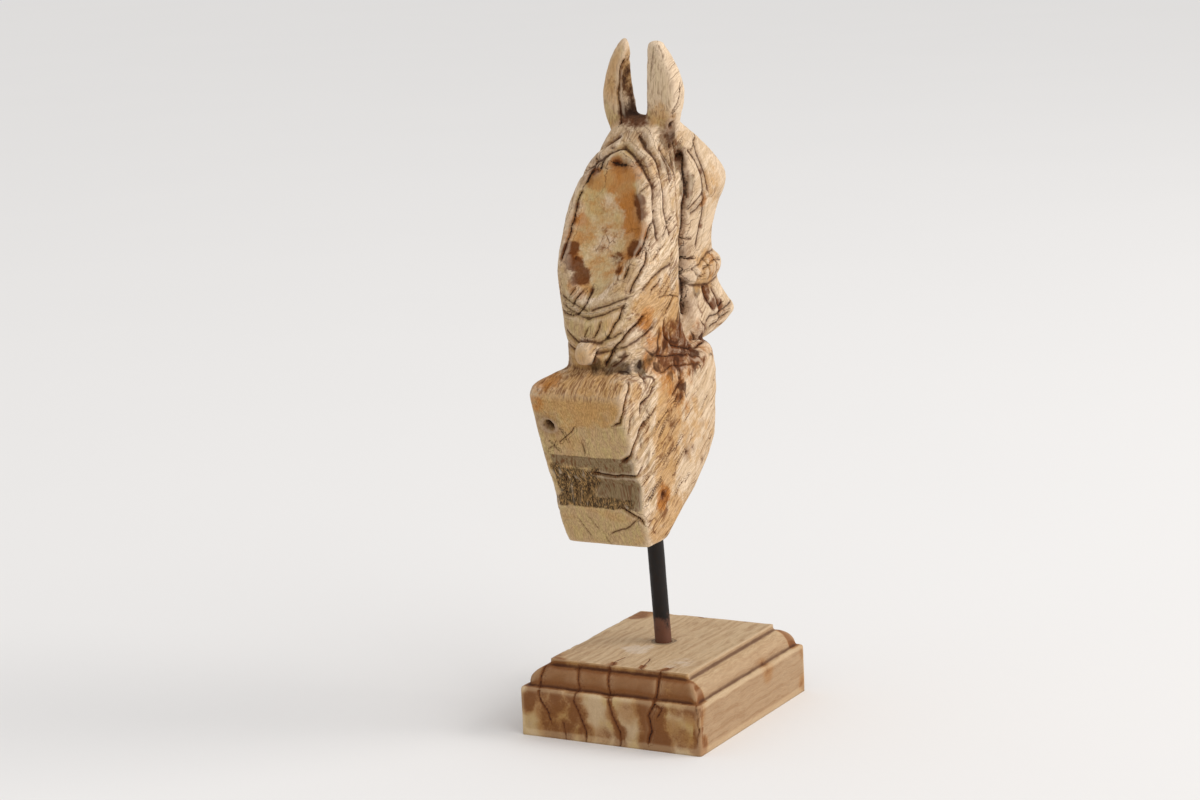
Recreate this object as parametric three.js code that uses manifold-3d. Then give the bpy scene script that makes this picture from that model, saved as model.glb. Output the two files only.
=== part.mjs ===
// A weathered carved horse head on an iron rod and a moulded wooden base, in millimetres.
// +Z is up and the horse looks along -Y, so +Y is its back and +X its left side.
// The origin is the middle of the base's underside.
import * as THREE from "three";
import { mergeVertices } from "three/addons/utils/BufferGeometryUtils.js";
import Module from "manifold-3d";

const wasm = await Module();
wasm.setup();

// The base: a slab with a quarter-round moulding under a smaller flat top.
const baseWidth = 120;
const baseLength = 142.7;
const slabHeight = 29.9;
const ledgeWidth = 3.5;
const ovoloWidth = 10.2;
const ovoloHeight = 11.1;
const filletHeight = 3.5;

// The rod, its lean off upright, and the blind holes that hold its two ends.
const rodDiameter = 9.5;
const rodLeanLeft = 2;
const rodLeanBack = 1.5;
const rodShown = 74.5;
const rodDepthInBase = 18;
const rodDepthInWood = 26;
const fitGap = 0.3;
// How far the cutters of the rod's two holes stand out past the faces they go into.
const holeOverrun = 5;

// The carving: its overall height, and its width and length across the block it is cut from.
const carvingHeight = 291;
const carvingWidth = 60;
const carvingLength = 185;

// Depths of the cuts, from the surface, and how far each V-shaped one spreads to either side.
const maneGrooveDepth = 2.8;
const maneGrooveSpread = 4;
const jawGrooveDepth = 6;
const jawGrooveSpread = 4;
const strapGrooveDepth = 1.6;
const strapGrooveSpread = 2.4;
const collarGrooveDepth = 2.4;
const collarGrooveSpread = 3.2;
const mouthDepth = 2.5;
const mouthSpread = 2.2;
const hollowDepth = 5;
const dadoDepth = 5;
// The dado's ceiling is cut in by this share of its depth.
const dadoCeilingShare = 0.6;

// The outlines below are drawn for a carving 291 high, 60 wide and 185 long, and share its size.
const U = carvingHeight / 291;
const W = carvingWidth / 60;
const L = carvingLength / 185;

const baseHeight = slabHeight + ovoloHeight + filletHeight;
const carvingFoot = baseHeight + rodShown;
const RING = 32;
const EAR_RING = 20;
const ROD_SIDES = 24;

// Further off, in drawn units, than any part of the carving reaches.
const BEYOND = 120;

// A closed geometry as a solid that can be cut and joined.
function solidOf(geometry) {
  const bare = geometry.index ? geometry.toNonIndexed() : geometry.clone();
  bare.deleteAttribute("normal");
  bare.deleteAttribute("uv");
  const merged = mergeVertices(bare, 1e-4);
  return new wasm.Manifold(
    new wasm.Mesh({
      numProp: 3,
      vertProperties: new Float32Array(merged.attributes.position.array),
      triVerts: new Uint32Array(merged.index.array),
    }),
  );
}

// A solid back as a geometry with flat faces.
function geometryOf(solid) {
  const mesh = solid.getMesh();
  const geometry = new THREE.BufferGeometry();
  geometry.setAttribute("position", new THREE.BufferAttribute(mesh.vertProperties, 3));
  geometry.setIndex(new THREE.BufferAttribute(mesh.triVerts, 1));
  const flat = geometry.toNonIndexed();
  flat.computeVertexNormals();
  return flat;
}

// A skin over rings of equally many points, each ring counter-clockwise seen from its end.
function skin(rings) {
  const count = rings[0].length;
  const points = rings.flat();
  const faces = [];
  for (let i = 0; i + 1 < rings.length; i++) {
    for (let j = 0; j < count; j++) {
      const a = i * count + j;
      const b = i * count + ((j + 1) % count);
      faces.push(a, b, b + count, a, b + count, a + count);
    }
  }
  const last = (rings.length - 1) * count;
  const caps = [rings[0], rings[rings.length - 1]].map((ring) => {
    const middle = new THREE.Vector3();
    ring.forEach((p) => middle.add(p));
    points.push(middle.divideScalar(count));
    return points.length - 1;
  });
  for (let j = 0; j < count; j++) {
    const next = (j + 1) % count;
    faces.push(caps[0], next, j);
    faces.push(caps[1], last + j, last + next);
  }
  const geometry = new THREE.BufferGeometry().setFromPoints(points);
  geometry.setIndex(faces);
  return geometry;
}

// Values between the rows of a table, on a smooth curve through them; the first column is the height.
function between(rows, height) {
  let i = 0;
  while (i + 2 < rows.length && rows[i + 1][0] < height) i++;
  const before = rows[Math.max(i - 1, 0)];
  const after = rows[Math.min(i + 2, rows.length - 1)];
  const span = rows[i + 1][0] - rows[i][0];
  const t = THREE.MathUtils.clamp((height - rows[i][0]) / span, 0, 1);
  return rows[i].map((start, k) => {
    if (k === 0) return height;
    const end = rows[i + 1][k];
    const slopeIn = ((end - before[k]) / (rows[i + 1][0] - before[0])) * span;
    const slopeOut = ((after[k] - start) / (after[0] - rows[i][0])) * span;
    const a = 2 * start - 2 * end + slopeIn + slopeOut;
    const b = -3 * start + 3 * end - 2 * slopeIn - slopeOut;
    return ((a * t + b) * t + slopeIn) * t + start;
  });
}

// A level section of a form: a superellipse with one half behind its widest place and one before it.
// A row holds height, back, widest, front, half-width, squareness behind and squareness before.
function sectionPoint(row, turn) {
  const [height, back, widest, front, half, squareBack, squareFront] = row;
  const c = Math.cos(turn);
  const s = Math.sin(turn);
  const power = 2 / (s > 0 ? squareBack : squareFront);
  const reach = s > 0 ? back - widest : widest - front;
  return new THREE.Vector3(
    half * W * Math.sign(c) * Math.abs(c) ** power,
    (widest + reach * Math.sign(s) * Math.abs(s) ** power) * L,
    carvingFoot + height * U,
  );
}

// A form from its table of sections, with a number of levels.
function form(rows, levels) {
  const low = rows[0][0];
  const high = rows[rows.length - 1][0];
  const rings = [];
  for (let i = 0; i <= levels; i++) {
    const row = between(rows, low + ((high - low) * i) / levels);
    rings.push(
      Array.from({ length: RING }, (_, j) => sectionPoint(row, (2 * Math.PI * j) / RING)),
    );
  }
  return solidOf(skin(rings));
}

// A side outline, given as pairs of back and height, carried right across the carving.
function acrossSolid(outline, halfWidth) {
  const shape = new THREE.Shape(
    outline.map(([y, z]) => new THREE.Vector2(y * L, carvingFoot + z * U)),
  );
  const geometry = new THREE.ExtrudeGeometry(shape, {
    depth: 2 * halfWidth * W,
    bevelEnabled: false,
  });
  // The shape's own X becomes Y, its Y becomes Z and its depth runs along X.
  const turn = new THREE.Matrix4().makeBasis(
    new THREE.Vector3(0, 1, 0),
    new THREE.Vector3(0, 0, 1),
    new THREE.Vector3(1, 0, 0),
  );
  geometry.applyMatrix4(turn);
  geometry.translate(-halfWidth * W, 0, 0);
  return solidOf(geometry);
}

// A front outline, given as pairs of left and height, carried from one back value to another.
function alongSolid(outline, from, to) {
  const shape = new THREE.Shape(
    outline.map(([x, z]) => new THREE.Vector2(-x * W, carvingFoot + z * U)),
  );
  const geometry = new THREE.ExtrudeGeometry(shape, {
    depth: (to - from) * L,
    bevelEnabled: false,
  });
  const turn = new THREE.Matrix4().makeBasis(
    new THREE.Vector3(-1, 0, 0),
    new THREE.Vector3(0, 0, 1),
    new THREE.Vector3(0, 1, 0),
  );
  geometry.applyMatrix4(turn);
  geometry.translate(0, from * L, 0);
  return solidOf(geometry);
}

// A V-shaped cut along a path on the side of a form.
// Each path point is a pair of turn (degrees from straight back) and height; side is 1 left, -1 right.
function groove(rows, path, side, depth, spread) {
  const nudge = 0.02;
  const endTaper = 0.45;
  const curve = new THREE.SplineCurve(path.map(([turn, height]) => new THREE.Vector2(turn, height)));
  const spine = curve.getPoints(2 * (path.length - 1)).map(({ x: turn, y: height }) => {
    const row = between(rows, height);
    const angle = THREE.MathUtils.degToRad(90 - side * turn);
    const at = sectionPoint(row, angle);
    const step = sectionPoint(row, angle + nudge).sub(sectionPoint(row, angle - nudge));
    const out = new THREE.Vector3(step.y, -step.x, 0).normalize();
    return { at, out };
  });
  const rings = spine.map(({ at, out }, i) => {
    const ahead = spine[Math.min(i + 1, spine.length - 1)].at.clone();
    const run = ahead.sub(spine[Math.max(i - 1, 0)].at).normalize();
    const sideways = new THREE.Vector3().crossVectors(out, run).normalize();
    const taper = i === 0 || i === spine.length - 1 ? endTaper : 1;
    const lip = at.clone().addScaledVector(out, depth);
    const half = sideways.multiplyScalar(spread * taper);
    return [
      at.clone().addScaledVector(out, -depth * taper),
      lip.clone().add(half),
      lip.clone().sub(half),
    ];
  });
  return solidOf(skin(rings));
}

// The same cut on both sides of the carving.
function grooves(rows, path, depth, spread) {
  return groove(rows, path, 1, depth, spread).add(groove(rows, path, -1, depth, spread));
}

// An ellipsoid, for scoops and bosses.
function ellipsoid(x, y, z, rx, ry, rz) {
  const geometry = new THREE.SphereGeometry(1, 24, 16);
  geometry.scale(rx * W, ry * L, rz * U);
  geometry.translate(x * W, y * L, carvingFoot + z * U);
  return solidOf(geometry);
}

// Sections of the bust, from its underside up past its top.
const BUST = [
  [0, 62, 46, 24, 27, 24, 2.5],
  [4.5, 63.5, 44, 16, 28.8, 26, 2.6],
  [19.5, 69, 36, -4, 29.4, 30, 2.7],
  [32.5, 73.5, 28, -25, 30, 30, 2.8],
  [48.5, 79, 20, -44, 30.5, 30, 2.8],
  [71.5, 87.5, 10, -55, 31.2, 30, 2.8],
  [89.5, 94, 10, -53, 31.2, 30, 2.8],
  [105.5, 99, 10, -41, 31, 30, 2.8],
  [115.5, 102, 10, -31, 30.6, 30, 2.6],
];
// The bust stands this far to the left of the neck's middle.
const bustShift = 1.2;

// Sections of the neck, from inside the bust up to between the ears.
const NECK = [
  [97.5, 76, 30, -36, 28, 2.3, 2.2],
  [107.5, 76, 30, -26, 27.5, 2.3, 2.2],
  [115.5, 77, 30, -8, 28.4, 2.3, 2.6],
  [128.5, 78, 30, 2, 29, 2.4, 3],
  [139.5, 76, 30, 4, 29, 2.8, 3],
  [149.5, 71, 30, 4, 29.5, 3.6, 3],
  [161.5, 65, 30, 4, 30, 5, 3],
  [171.5, 60, 30, 2, 30, 6, 3],
  [181.5, 54, 28, 0, 29.5, 6, 3],
  [193.5, 49.5, 26, -4, 28.5, 6, 3],
  [207.5, 46, 22, -6, 26, 5, 3],
  [219.5, 39, 16, -8, 22.5, 4, 3],
  [227.5, 29, 8, -12, 19, 4, 3],
  [233.5, 20, 4, -14, 18, 4, 3],
  [239.5, 13, 0, -14, 17, 4, 3],
  [244.5, 7, -2, -11, 12, 3, 3],
];

// Sections of the head, from the lower lip up to the poll.
const HEAD = [
  [104.5, -2, -30, -54, 11.5, 3.5, 3],
  [108.5, -2, -40, -70, 14, 3.5, 3.6],
  [112.5, -3, -45, -83, 16.5, 3.5, 4],
  [116.5, -3, -45, -87.5, 17.5, 3.5, 4],
  [120.5, -3, -45, -86.5, 17.2, 3.5, 4],
  [125.5, -3, -42, -82, 16.5, 3.5, 3.8],
  [133.5, -3, -38, -74, 15.8, 3.5, 3.6],
  [140.5, -3, -34, -68, 15.5, 3.5, 3.6],
  [159.5, -3, -30, -62, 16, 3.5, 3.6],
  [171.5, 4, -28, -60, 18, 3.5, 3.6],
  [183.5, 10, -28, -65, 20, 3.5, 3.6],
  [192.5, 10, -28, -72, 22, 3.5, 3.6],
  [200.5, 10, -28, -77, 23, 3.5, 3.6],
  [208.5, 8, -24, -73, 23, 3.5, 3.4],
  [217.5, 6, -18, -61, 22.5, 3.5, 3.2],
  [227.5, 2, -12, -44, 21.5, 3.5, 3],
  [236.5, -2, -8, -29, 19.5, 3.5, 2.8],
  [241.5, -4, -8, -20, 17, 3, 2.6],
];

// Sections of the band round the nose, which also bridges the gap to the throat.
const NOSEBAND = [
  [141.5, 6, -30, -66, 15.8, 3.5, 3.6],
  [144, 8, -30, -71.5, 18, 3.5, 3.6],
  [153.5, 8, -30, -71.5, 18, 3.5, 3.6],
  [157, 6, -30, -64, 16, 3.5, 3.6],
];

// Sections of the cut that makes the hollow: height, rim, share of its depth and half-width.
const HOLLOW = [
  [148.5, 69, 0.3, 3],
  [155.5, 66.5, 0.7, 11],
  [162.5, 63.5, 0.9, 16.4],
  [169.5, 60, 1, 20.3],
  [176.5, 55.5, 1, 22.3],
  [184.5, 50.5, 1, 22.7],
  [193.5, 47.5, 1, 21.3],
  [200.5, 46.5, 1, 19.7],
  [210.5, 44.5, 0.9, 16.4],
  [217.5, 41.5, 0.8, 13.8],
  [223.5, 37, 0.6, 10.8],
  [228.5, 31.5, 0.4, 7],
  [232, 27, 0.1, 2.6],
];

// The bust: its sections under a crowned top and a rounded back edge, with a groove across the back.
function bust() {
  const crown = alongSolid(
    [
      [40, -10],
      [40, 92.5],
      [30, 100],
      [20, 105.7],
      [10, 107.9],
      [0, 108.7],
      [-10, 107.9],
      [-20, 105.7],
      [-30, 101.9],
      [-40, 95.5],
      [-40, -10],
    ].reverse(),
    -BEYOND,
    BEYOND,
  );
  const sideOutline = acrossSolid(
    [
      [-80, -10],
      [110, -10],
      [110, 86.5],
      [98, 89.5],
      [95, 95],
      [90, 99.5],
      [84, 103],
      [76, 106],
      [64, 109],
      [-80, 110.5],
    ],
    BEYOND,
  );
  const cut = dadoDepth / L;
  const dado = acrossSolid(
    [
      [110, 58.5],
      [82.5, 59],
      [83 - dadoCeilingShare * cut, 46.5],
      [78 - cut, 40.5],
      [75.5 - cut, 27.5],
      [71.2, 25],
      [110, 25],
    ].reverse(),
    BEYOND,
  );
  const block = form(BUST, 9).intersect(crown).intersect(sideOutline).subtract(dado);
  return block.translate([bustShift, 0, 0]);
}

// The neck, with the weathered hollow down its back and the locks of the mane on both sides.
function neck() {
  const sections = HOLLOW.map(([height, rim, share, half]) => {
    return [height, BEYOND, rim, rim - (share * hollowDepth) / L, half, 20, 2.2];
  });
  const hollow = form(sections, 12);
  const locks = [
    [
      [12, 226.5], [30, 223.5], [48, 217.5], [65, 212.5], [75, 206.5],
      [78, 199.5], [77, 192.5], [80, 185.5], [84, 178.5],
    ],
    [
      [10, 235.5], [34, 230.5], [64, 226.5], [84, 219.5],
      [90, 208.5], [91, 199.5], [91, 189.5], [92, 180.5],
    ],
    [[84, 228.5], [97, 222.5], [107, 215.5], [115, 205.5], [115, 196.5], [106, 187.5]],
  ];
  return locks.reduce(
    (solid, path) => solid.subtract(grooves(NECK, path, maneGrooveDepth, maneGrooveSpread)),
    form(NECK, 19).subtract(hollow),
  );
}

// The head, with its noseband, cheek strap and mouth.
function head() {
  const strap = [[102, 231.5], [95, 222.5], [91, 206.5], [90, 191.5], [90, 173.5], [90, 158.5]];
  const lips = [
    [[84, 119.5], [94, 120.5], [106, 121.5], [118, 122.5], [132, 123.5]],
    [[84, 113.5], [96, 113.5], [108, 115], [120, 116.5], [134, 118.5]],
  ];
  const whole = form(HEAD, 22)
    .subtract(grooves(HEAD, strap, strapGrooveDepth, strapGrooveSpread))
    .add(form(NOSEBAND, 4));
  return lips.reduce(
    (solid, path) => solid.subtract(grooves(HEAD, path, mouthDepth, mouthSpread)),
    whole,
  );
}

// One ear: level sections from its root to its tip, and a scoop in its inner face.
// A row holds height, outer edge, inner edge, back and front.
function ear(side, rows, scoop) {
  const rings = rows.map(([height, outer, inner, back, front]) => {
    const row = [height, back, (back + front) / 2, front, (outer - inner) / 2, 5, 2.6];
    const centre = (side * (outer + inner) * W) / 2;
    return Array.from({ length: EAR_RING }, (_, j) => {
      const p = sectionPoint(row, (2 * Math.PI * j) / EAR_RING);
      p.x += centre;
      return p;
    });
  });
  return solidOf(skin(rings)).subtract(scoop);
}

// Both ears: the left one comes to a rounded point, the right one is broken off flat.
function ears() {
  const left = ear(
    1,
    [
      [225.5, 16, 3, 6, -8],
      [234.5, 19, 3.5, 7, -8],
      [242.5, 22.5, 4, 7.5, -8],
      [251.5, 24.5, 5, 7.5, -8],
      [259.5, 24.5, 5.4, 7.5, -8],
      [269.5, 22, 6, 7, -7],
      [279.5, 18.5, 6.8, 6, -5.5],
      [286.5, 14.5, 7.6, 4.5, -3.5],
      [291, 11, 8.4, 2.5, -1],
    ],
    ellipsoid(0, 2, 263.5, 11, 13, 30),
  );
  const right = ear(
    -1,
    [
      [225.5, 20, 3, 8, -10],
      [234.5, 20.5, 4.5, 9, -11],
      [242.5, 22, 5, 9.5, -11],
      [251.5, 25, 5.5, 9.5, -11],
      [259.5, 26.5, 5.5, 9.5, -10.5],
      [269.5, 24, 6, 9, -9],
      [279.5, 20, 6.3, 8, -6.5],
      [285.5, 16.5, 6.6, 7, -4],
      [289, 14.5, 6.8, 6, -2.5],
    ],
    ellipsoid(0, -9, 257.5, 10, 12, 26),
  );
  return left.add(right);
}

// The stud on the crest at the foot of the mane.
function stud() {
  const outline = acrossSolid(
    [
      [62, 111.5],
      [85, 110.5],
      [86.5, 114.5],
      [86.5, 120.5],
      [84, 124],
      [62, 124.5],
    ],
    6,
  );
  return outline.intersect(ellipsoid(0, 76, 117.5, 7, 14, 10));
}

// The whole carving as one solid, with the hole that the rod goes up into.
function horseHead() {
  const jaw = [
    [138, 222.5], [132, 212.5], [126, 202.5], [125, 195.5],
    [126, 188.5], [124, 181.5], [121, 174.5], [112, 167.5],
  ];
  const collar = [
    [[10, 116.5], [26, 118.5], [43, 120.5], [60, 125.5], [74, 131.5], [88, 138.5], [100, 147.5]],
    [[27, 107.5], [34, 112.5], [45, 115.5], [58, 119.5], [71, 127.5], [84, 134.5], [96, 142.5]],
  ];
  let solid = bust().add(neck()).add(head()).add(ears()).add(stud());
  solid = solid.subtract(grooves(NECK, jaw, jawGrooveDepth, jawGrooveSpread));
  for (const path of collar) {
    solid = solid.subtract(grooves(NECK, path, collarGrooveDepth, collarGrooveSpread));
  }
  const reach = rodDepthInWood + fitGap;
  return solid.subtract(onRodAxis(rodDiameter / 2 + fitGap, -holeOverrun, reach));
}

// The rod's direction, from the base up.
function rodDirection() {
  return new THREE.Vector3(
    Math.tan(THREE.MathUtils.degToRad(rodLeanLeft)),
    Math.tan(THREE.MathUtils.degToRad(rodLeanBack)),
    1,
  ).normalize();
}

// A round solid on the rod's axis; its ends are given from the carving's underside.
function onRodAxis(radius, from, to) {
  const axis = rodDirection();
  const length = (to - from) / axis.z;
  const geometry = new THREE.CylinderGeometry(radius, radius, length, ROD_SIDES);
  geometry.translate(0, length / 2, 0);
  geometry.applyQuaternion(
    new THREE.Quaternion().setFromUnitVectors(new THREE.Vector3(0, 1, 0), axis),
  );
  const start = axis.clone().multiplyScalar((carvingFoot - baseHeight + from) / axis.z);
  geometry.translate(start.x, start.y, baseHeight + start.z);
  return solidOf(geometry);
}

// The rod, from the bottom of its hole in the base to the top of its hole in the carving.
function rod() {
  return onRodAxis(rodDiameter / 2, -rodShown - rodDepthInBase, rodDepthInWood);
}

// A level rectangle, drawn in from the base's outline.
function baseRing(inset, height) {
  const x = baseWidth / 2 - inset;
  const y = baseLength / 2 - inset;
  return [
    new THREE.Vector3(-x, -y, height),
    new THREE.Vector3(x, -y, height),
    new THREE.Vector3(x, y, height),
    new THREE.Vector3(-x, y, height),
  ];
}

// The base: slab, ledge, quarter-round and fillet, with the blind hole for the rod.
function base() {
  const steps = 8;
  const rings = [baseRing(0, 0), baseRing(0, slabHeight)];
  for (let i = 0; i <= steps; i++) {
    const turn = (Math.PI / 2) * (i / steps);
    rings.push(
      baseRing(
        ledgeWidth + ovoloWidth * (1 - Math.cos(turn)),
        slabHeight + ovoloHeight * Math.sin(turn),
      ),
    );
  }
  rings.push(baseRing(ledgeWidth + ovoloWidth, baseHeight));
  const floor = -rodShown - rodDepthInBase - fitGap;
  const hole = onRodAxis(rodDiameter / 2 + fitGap, floor, -rodShown + holeOverrun);
  return solidOf(skin(rings)).subtract(hole);
}

// A named mesh with its own material.
function piece(name, solid, color, roughness, metalness) {
  const material = new THREE.MeshStandardMaterial({ color, roughness, metalness });
  const mesh = new THREE.Mesh(geometryOf(solid), material);
  mesh.name = name;
  return mesh;
}

const sculpture = new THREE.Group();
sculpture.add(piece("horse_head", horseHead(), 0xc4a67c, 0.85, 0));
sculpture.add(piece("rod", rod(), 0x2e241f, 0.6, 0.7));
sculpture.add(piece("base", base(), 0x9a7450, 0.75, 0));

export default sculpture;
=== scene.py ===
"""Dresses a weathered carved horse head on an iron rod and a moulded wooden base.

Sizes in the settings and in the lists below are millimetres; meshes are in metres.
+Z is up and the horse looks along -Y, so +Y is its back and +X its left side.
"""

import bpy
import numpy as np
from bpy.props import FloatProperty, FloatVectorProperty, PointerProperty
from mathutils import Matrix, Vector


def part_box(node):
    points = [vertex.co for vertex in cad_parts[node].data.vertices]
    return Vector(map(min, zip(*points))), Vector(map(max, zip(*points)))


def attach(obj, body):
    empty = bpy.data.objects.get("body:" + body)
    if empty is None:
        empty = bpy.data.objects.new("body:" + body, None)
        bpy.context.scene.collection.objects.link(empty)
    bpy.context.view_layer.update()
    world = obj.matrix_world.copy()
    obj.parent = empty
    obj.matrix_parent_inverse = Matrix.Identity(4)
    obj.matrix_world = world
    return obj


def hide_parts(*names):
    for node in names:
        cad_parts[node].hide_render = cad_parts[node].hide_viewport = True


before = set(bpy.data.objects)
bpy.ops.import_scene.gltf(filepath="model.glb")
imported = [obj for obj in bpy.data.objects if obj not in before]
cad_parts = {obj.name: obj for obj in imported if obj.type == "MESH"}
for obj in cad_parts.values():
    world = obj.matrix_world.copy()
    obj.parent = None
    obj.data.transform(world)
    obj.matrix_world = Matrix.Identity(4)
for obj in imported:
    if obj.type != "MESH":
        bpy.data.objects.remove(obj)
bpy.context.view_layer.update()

bl_info = {
    "name": "Weathered horse head",
    "version": (1, 0, 0),
    "blender": (4, 5, 0),
    "location": "3D View > Sidebar > Horse Head",
    "description": "Dresses a carved wooden horse head, its iron rod and its moulded base",
    "category": "Object",
}

MM = 0.001
BODY = "root"


# Sizes read from the frame


def box_corners(node):
    """The low and high corners of a CAD node's box, in millimetres."""
    return [np.array(corner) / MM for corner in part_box(node)]


BASE_HIGH = box_corners("base")[1]
ROD_LOW, ROD_HIGH = box_corners("rod")
HEAD_LOW = box_corners("horse_head")[0]


# Settings a user would change


def size_setting(name, description, default, low, high):
    """A length in millimetres."""
    return FloatProperty(name=name, description=description, default=default, min=low, max=high)


def colour_setting(name, description, red, green, blue):
    """A colour given as screen values from 0 to 255."""
    return FloatVectorProperty(
        name=name, description=description, subtype="COLOR", size=3, min=0, max=1,
        default=tuple(linear(v) for v in (red, green, blue)),
    )


def linear(value):
    """A screen value from 0 to 255 as linear light, by the usual screen curve."""
    share = value / 255
    return share / 12.92 if share <= 0.04045 else ((share + 0.055) / 1.055) ** 2.4


class CarvingSettings(bpy.types.PropertyGroup):
    face_size: size_setting("Face size", "Edge length of the carving's faces, in mm", 1.15, 0.8, 4)
    grain_angle: FloatProperty(
        name="Grain angle", description="How steeply the grain climbs towards the front",
        default=np.radians(27), subtype="ANGLE",
    )
    groove_depth: size_setting("Groove depth", "Depth of the carved grooves, in mm", 2.0, 0, 5)
    crack_depth: size_setting("Crack depth", "Depth of the drying cracks, in mm", 1.5, 0, 4)
    relief: size_setting("Weathered relief", "Height of the raised grain, in mm", 0.24, 0, 2)
    # The bleached colour also paints light on the right ear's outer face and on edges
    pale: colour_setting("Bleached wood", "Dry outer fibres", 228, 205, 177)
    tan: colour_setting("Tan wood", "Darker streaks between them", 188, 157, 118)
    end_wood: colour_setting("End grain", "Faces cut across the grain", 194, 170, 118)
    honey: colour_setting("Honey wood", "Warm patches", 190, 145, 88)
    orange: colour_setting("Orange stain", "Rust-like stains in the hollow", 180, 116, 50)
    # The brown stain also paints shade on the left ear's inner face and in creases and hollows
    brown: colour_setting("Brown stain", "Old water stains", 98, 50, 18)
    grey: colour_setting("Grey wood", "Old tool marks and dusty corners", 116, 98, 74)
    # The crack dark also paints shade in creases, gaps, between the ears and on the left ear's inner face
    dark: colour_setting("Crack dark", "Inside of cracks and rot", 38, 25, 16)


class BaseSettings(bpy.types.PropertyGroup):
    arris: size_setting("Softened edges", "Radius of the worn corners, in mm", 1.3, 0.2, 5)
    crack_depth: size_setting("Crack depth", "Depth of the cracks in the ends, in mm", 1.1, 0, 4)
    relief: size_setting("Relief", "Height of the uneven surface, in mm", 0.22, 0, 2)
    top: colour_setting("Top wood", "Handled top and long sides", 195, 168, 132)
    # The dark streak and the red-brown stain also paint shade on the long sides; the stain also paints shade
    # in the corners
    streak: colour_setting("Dark streak", "Darker long grain", 172, 141, 107)
    end_wood: colour_setting("End grain", "Pale wood of the two ends", 182, 150, 90)
    stain: colour_setting("Red-brown stain", "Stains along cracks and moulding", 108, 56, 17)
    halo: colour_setting("Brown halo", "Soft rims round those stains", 158, 108, 56)
    dark: colour_setting("Crack dark", "Inside of the cracks", 44, 22, 12)


class RodSettings(bpy.types.PropertyGroup):
    swell: size_setting("Scale on the bar", "How far rust and wax stand out, in mm", 0.4, 0, 0.6)
    unevenness: size_setting("Unevenness", "How far the bar wavers, in mm", 0.12, 0, 1)
    iron: colour_setting("Waxed iron", "Bar", 38, 30, 25)
    rust: colour_setting("Rust", "Patches near the foot", 104, 60, 38)


class StageSettings(bpy.types.PropertyGroup):
    floor: colour_setting("Floor", "Pale floor", 236, 234, 232)
    key_power: FloatProperty(name="Key light", description="Strength of the soft sun", default=0.85, min=0)
    side_power: FloatProperty(
        name="Side light", description="Power of the lamp on the right", default=60, min=0, unit="POWER"
    )
    sky: FloatProperty(name="Sky", description="Strength of the even light all round", default=0.7, min=0)


# Numbers on whole arrays


def smooth_step(value, low, high):
    """Goes from 0 at low to 1 at high along 3t squared less 2t cubed; low may be the larger."""
    t = np.clip((value - low) / (high - low), 0, 1)
    return t * t * (3 - 2 * t)


def cell_noise(points, sizes, seed):
    """Noise from -1 to 1: random values on a lattice with those cell sizes, blended by smooth steps."""
    values = np.random.default_rng(seed).uniform(-1, 1, 65536)
    scaled = points / np.array(sizes, float)
    cell = np.floor(scaled).astype(np.int64)
    part = scaled - cell
    part = part * part * (3 - 2 * part)
    total = np.zeros(len(points))
    for corner in np.ndindex(2, 2, 2):
        near = cell + np.array(corner)
        code = (near[:, 0] * 73856093) ^ (near[:, 1] * 19349663) ^ (near[:, 2] * 83492791)
        weight = np.prod(np.where(np.array(corner) == 1, part, 1 - part), axis=1)
        total += weight * values[code & 65535]
    return total


def layered_noise(points, sizes, seed, layers=3):
    """Noise at halving cell sizes and halving heights, added up and brought back to about -1 to 1."""
    sizes = np.array(sizes, float)
    total = sum(cell_noise(points, sizes / 2**i, seed + i) / 2**i for i in range(layers))
    return total / (2 - 2 ** (1 - layers))


def beside_line(points, normals, line, reach):
    """How far each point lies beside a line, in the surface, with a sign for the side; far ones get reach.

    Each straight stretch gives the offset to its nearest point; the part along the normal is dropped.
    """
    line = np.array(line, float)
    aside = np.full(len(points), float(reach))
    near = np.all((points > line.min(0) - reach) & (points < line.max(0) + reach), axis=1)
    chosen = np.where(near)[0]
    p, n = points[chosen], normals[chosen]
    best = np.full(len(chosen), float(reach))
    signed = best.copy()
    for start, end in zip(line[:-1], line[1:]):
        run = end - start
        share = np.clip(((p - start) @ run) / (run @ run), 0, 1)
        offset = p - (start + share[:, None] * run)
        direct = np.linalg.norm(offset, axis=1)
        flat = offset - np.einsum("ij,ij->i", offset, n)[:, None] * n
        distance = np.where(direct < reach, np.linalg.norm(flat, axis=1), reach)
        side = np.sign(np.einsum("ij,ij->i", np.cross(run, n), offset))
        closer = distance < best
        best = np.where(closer, distance, best)
        signed = np.where(closer, distance * np.where(side < 0, -1, 1), signed)
    aside[chosen] = signed
    return aside


def mirrored(line):
    """The same line on the other side of the carving."""
    return [(-x, y, z) for x, y, z in line]


# Meshes


def shown_object(name, points, faces):
    """A mesh object at the origin from points in millimetres and faces, shaded smooth."""
    mesh = bpy.data.meshes.new(name)
    mesh.from_pydata(points * MM, [], faces)
    mesh.update()
    mesh.shade_smooth()
    piece = bpy.data.objects.new(name, mesh)
    bpy.context.scene.collection.objects.link(piece)
    return piece


def mesh_arrays(mesh):
    """A mesh's points and normals in millimetres and unit length."""
    points = np.empty(len(mesh.vertices) * 3, np.float32)
    normals = np.empty(len(mesh.vertices) * 3, np.float32)
    mesh.vertices.foreach_get("co", points)
    mesh.vertices.foreach_get("normal", normals)
    return points.reshape(-1, 3).astype(float) / MM, normals.reshape(-1, 3).astype(float)


def set_points(mesh, points):
    """Puts points in millimetres back into a mesh."""
    mesh.vertices.foreach_set("co", (points * MM).astype(np.float32).ravel())
    mesh.update()


def edge_ends(mesh):
    """The two ends of every edge."""
    ends = np.empty(len(mesh.edges) * 2, np.int32)
    mesh.edges.foreach_get("vertices", ends)
    return ends.reshape(-1, 2)


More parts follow.
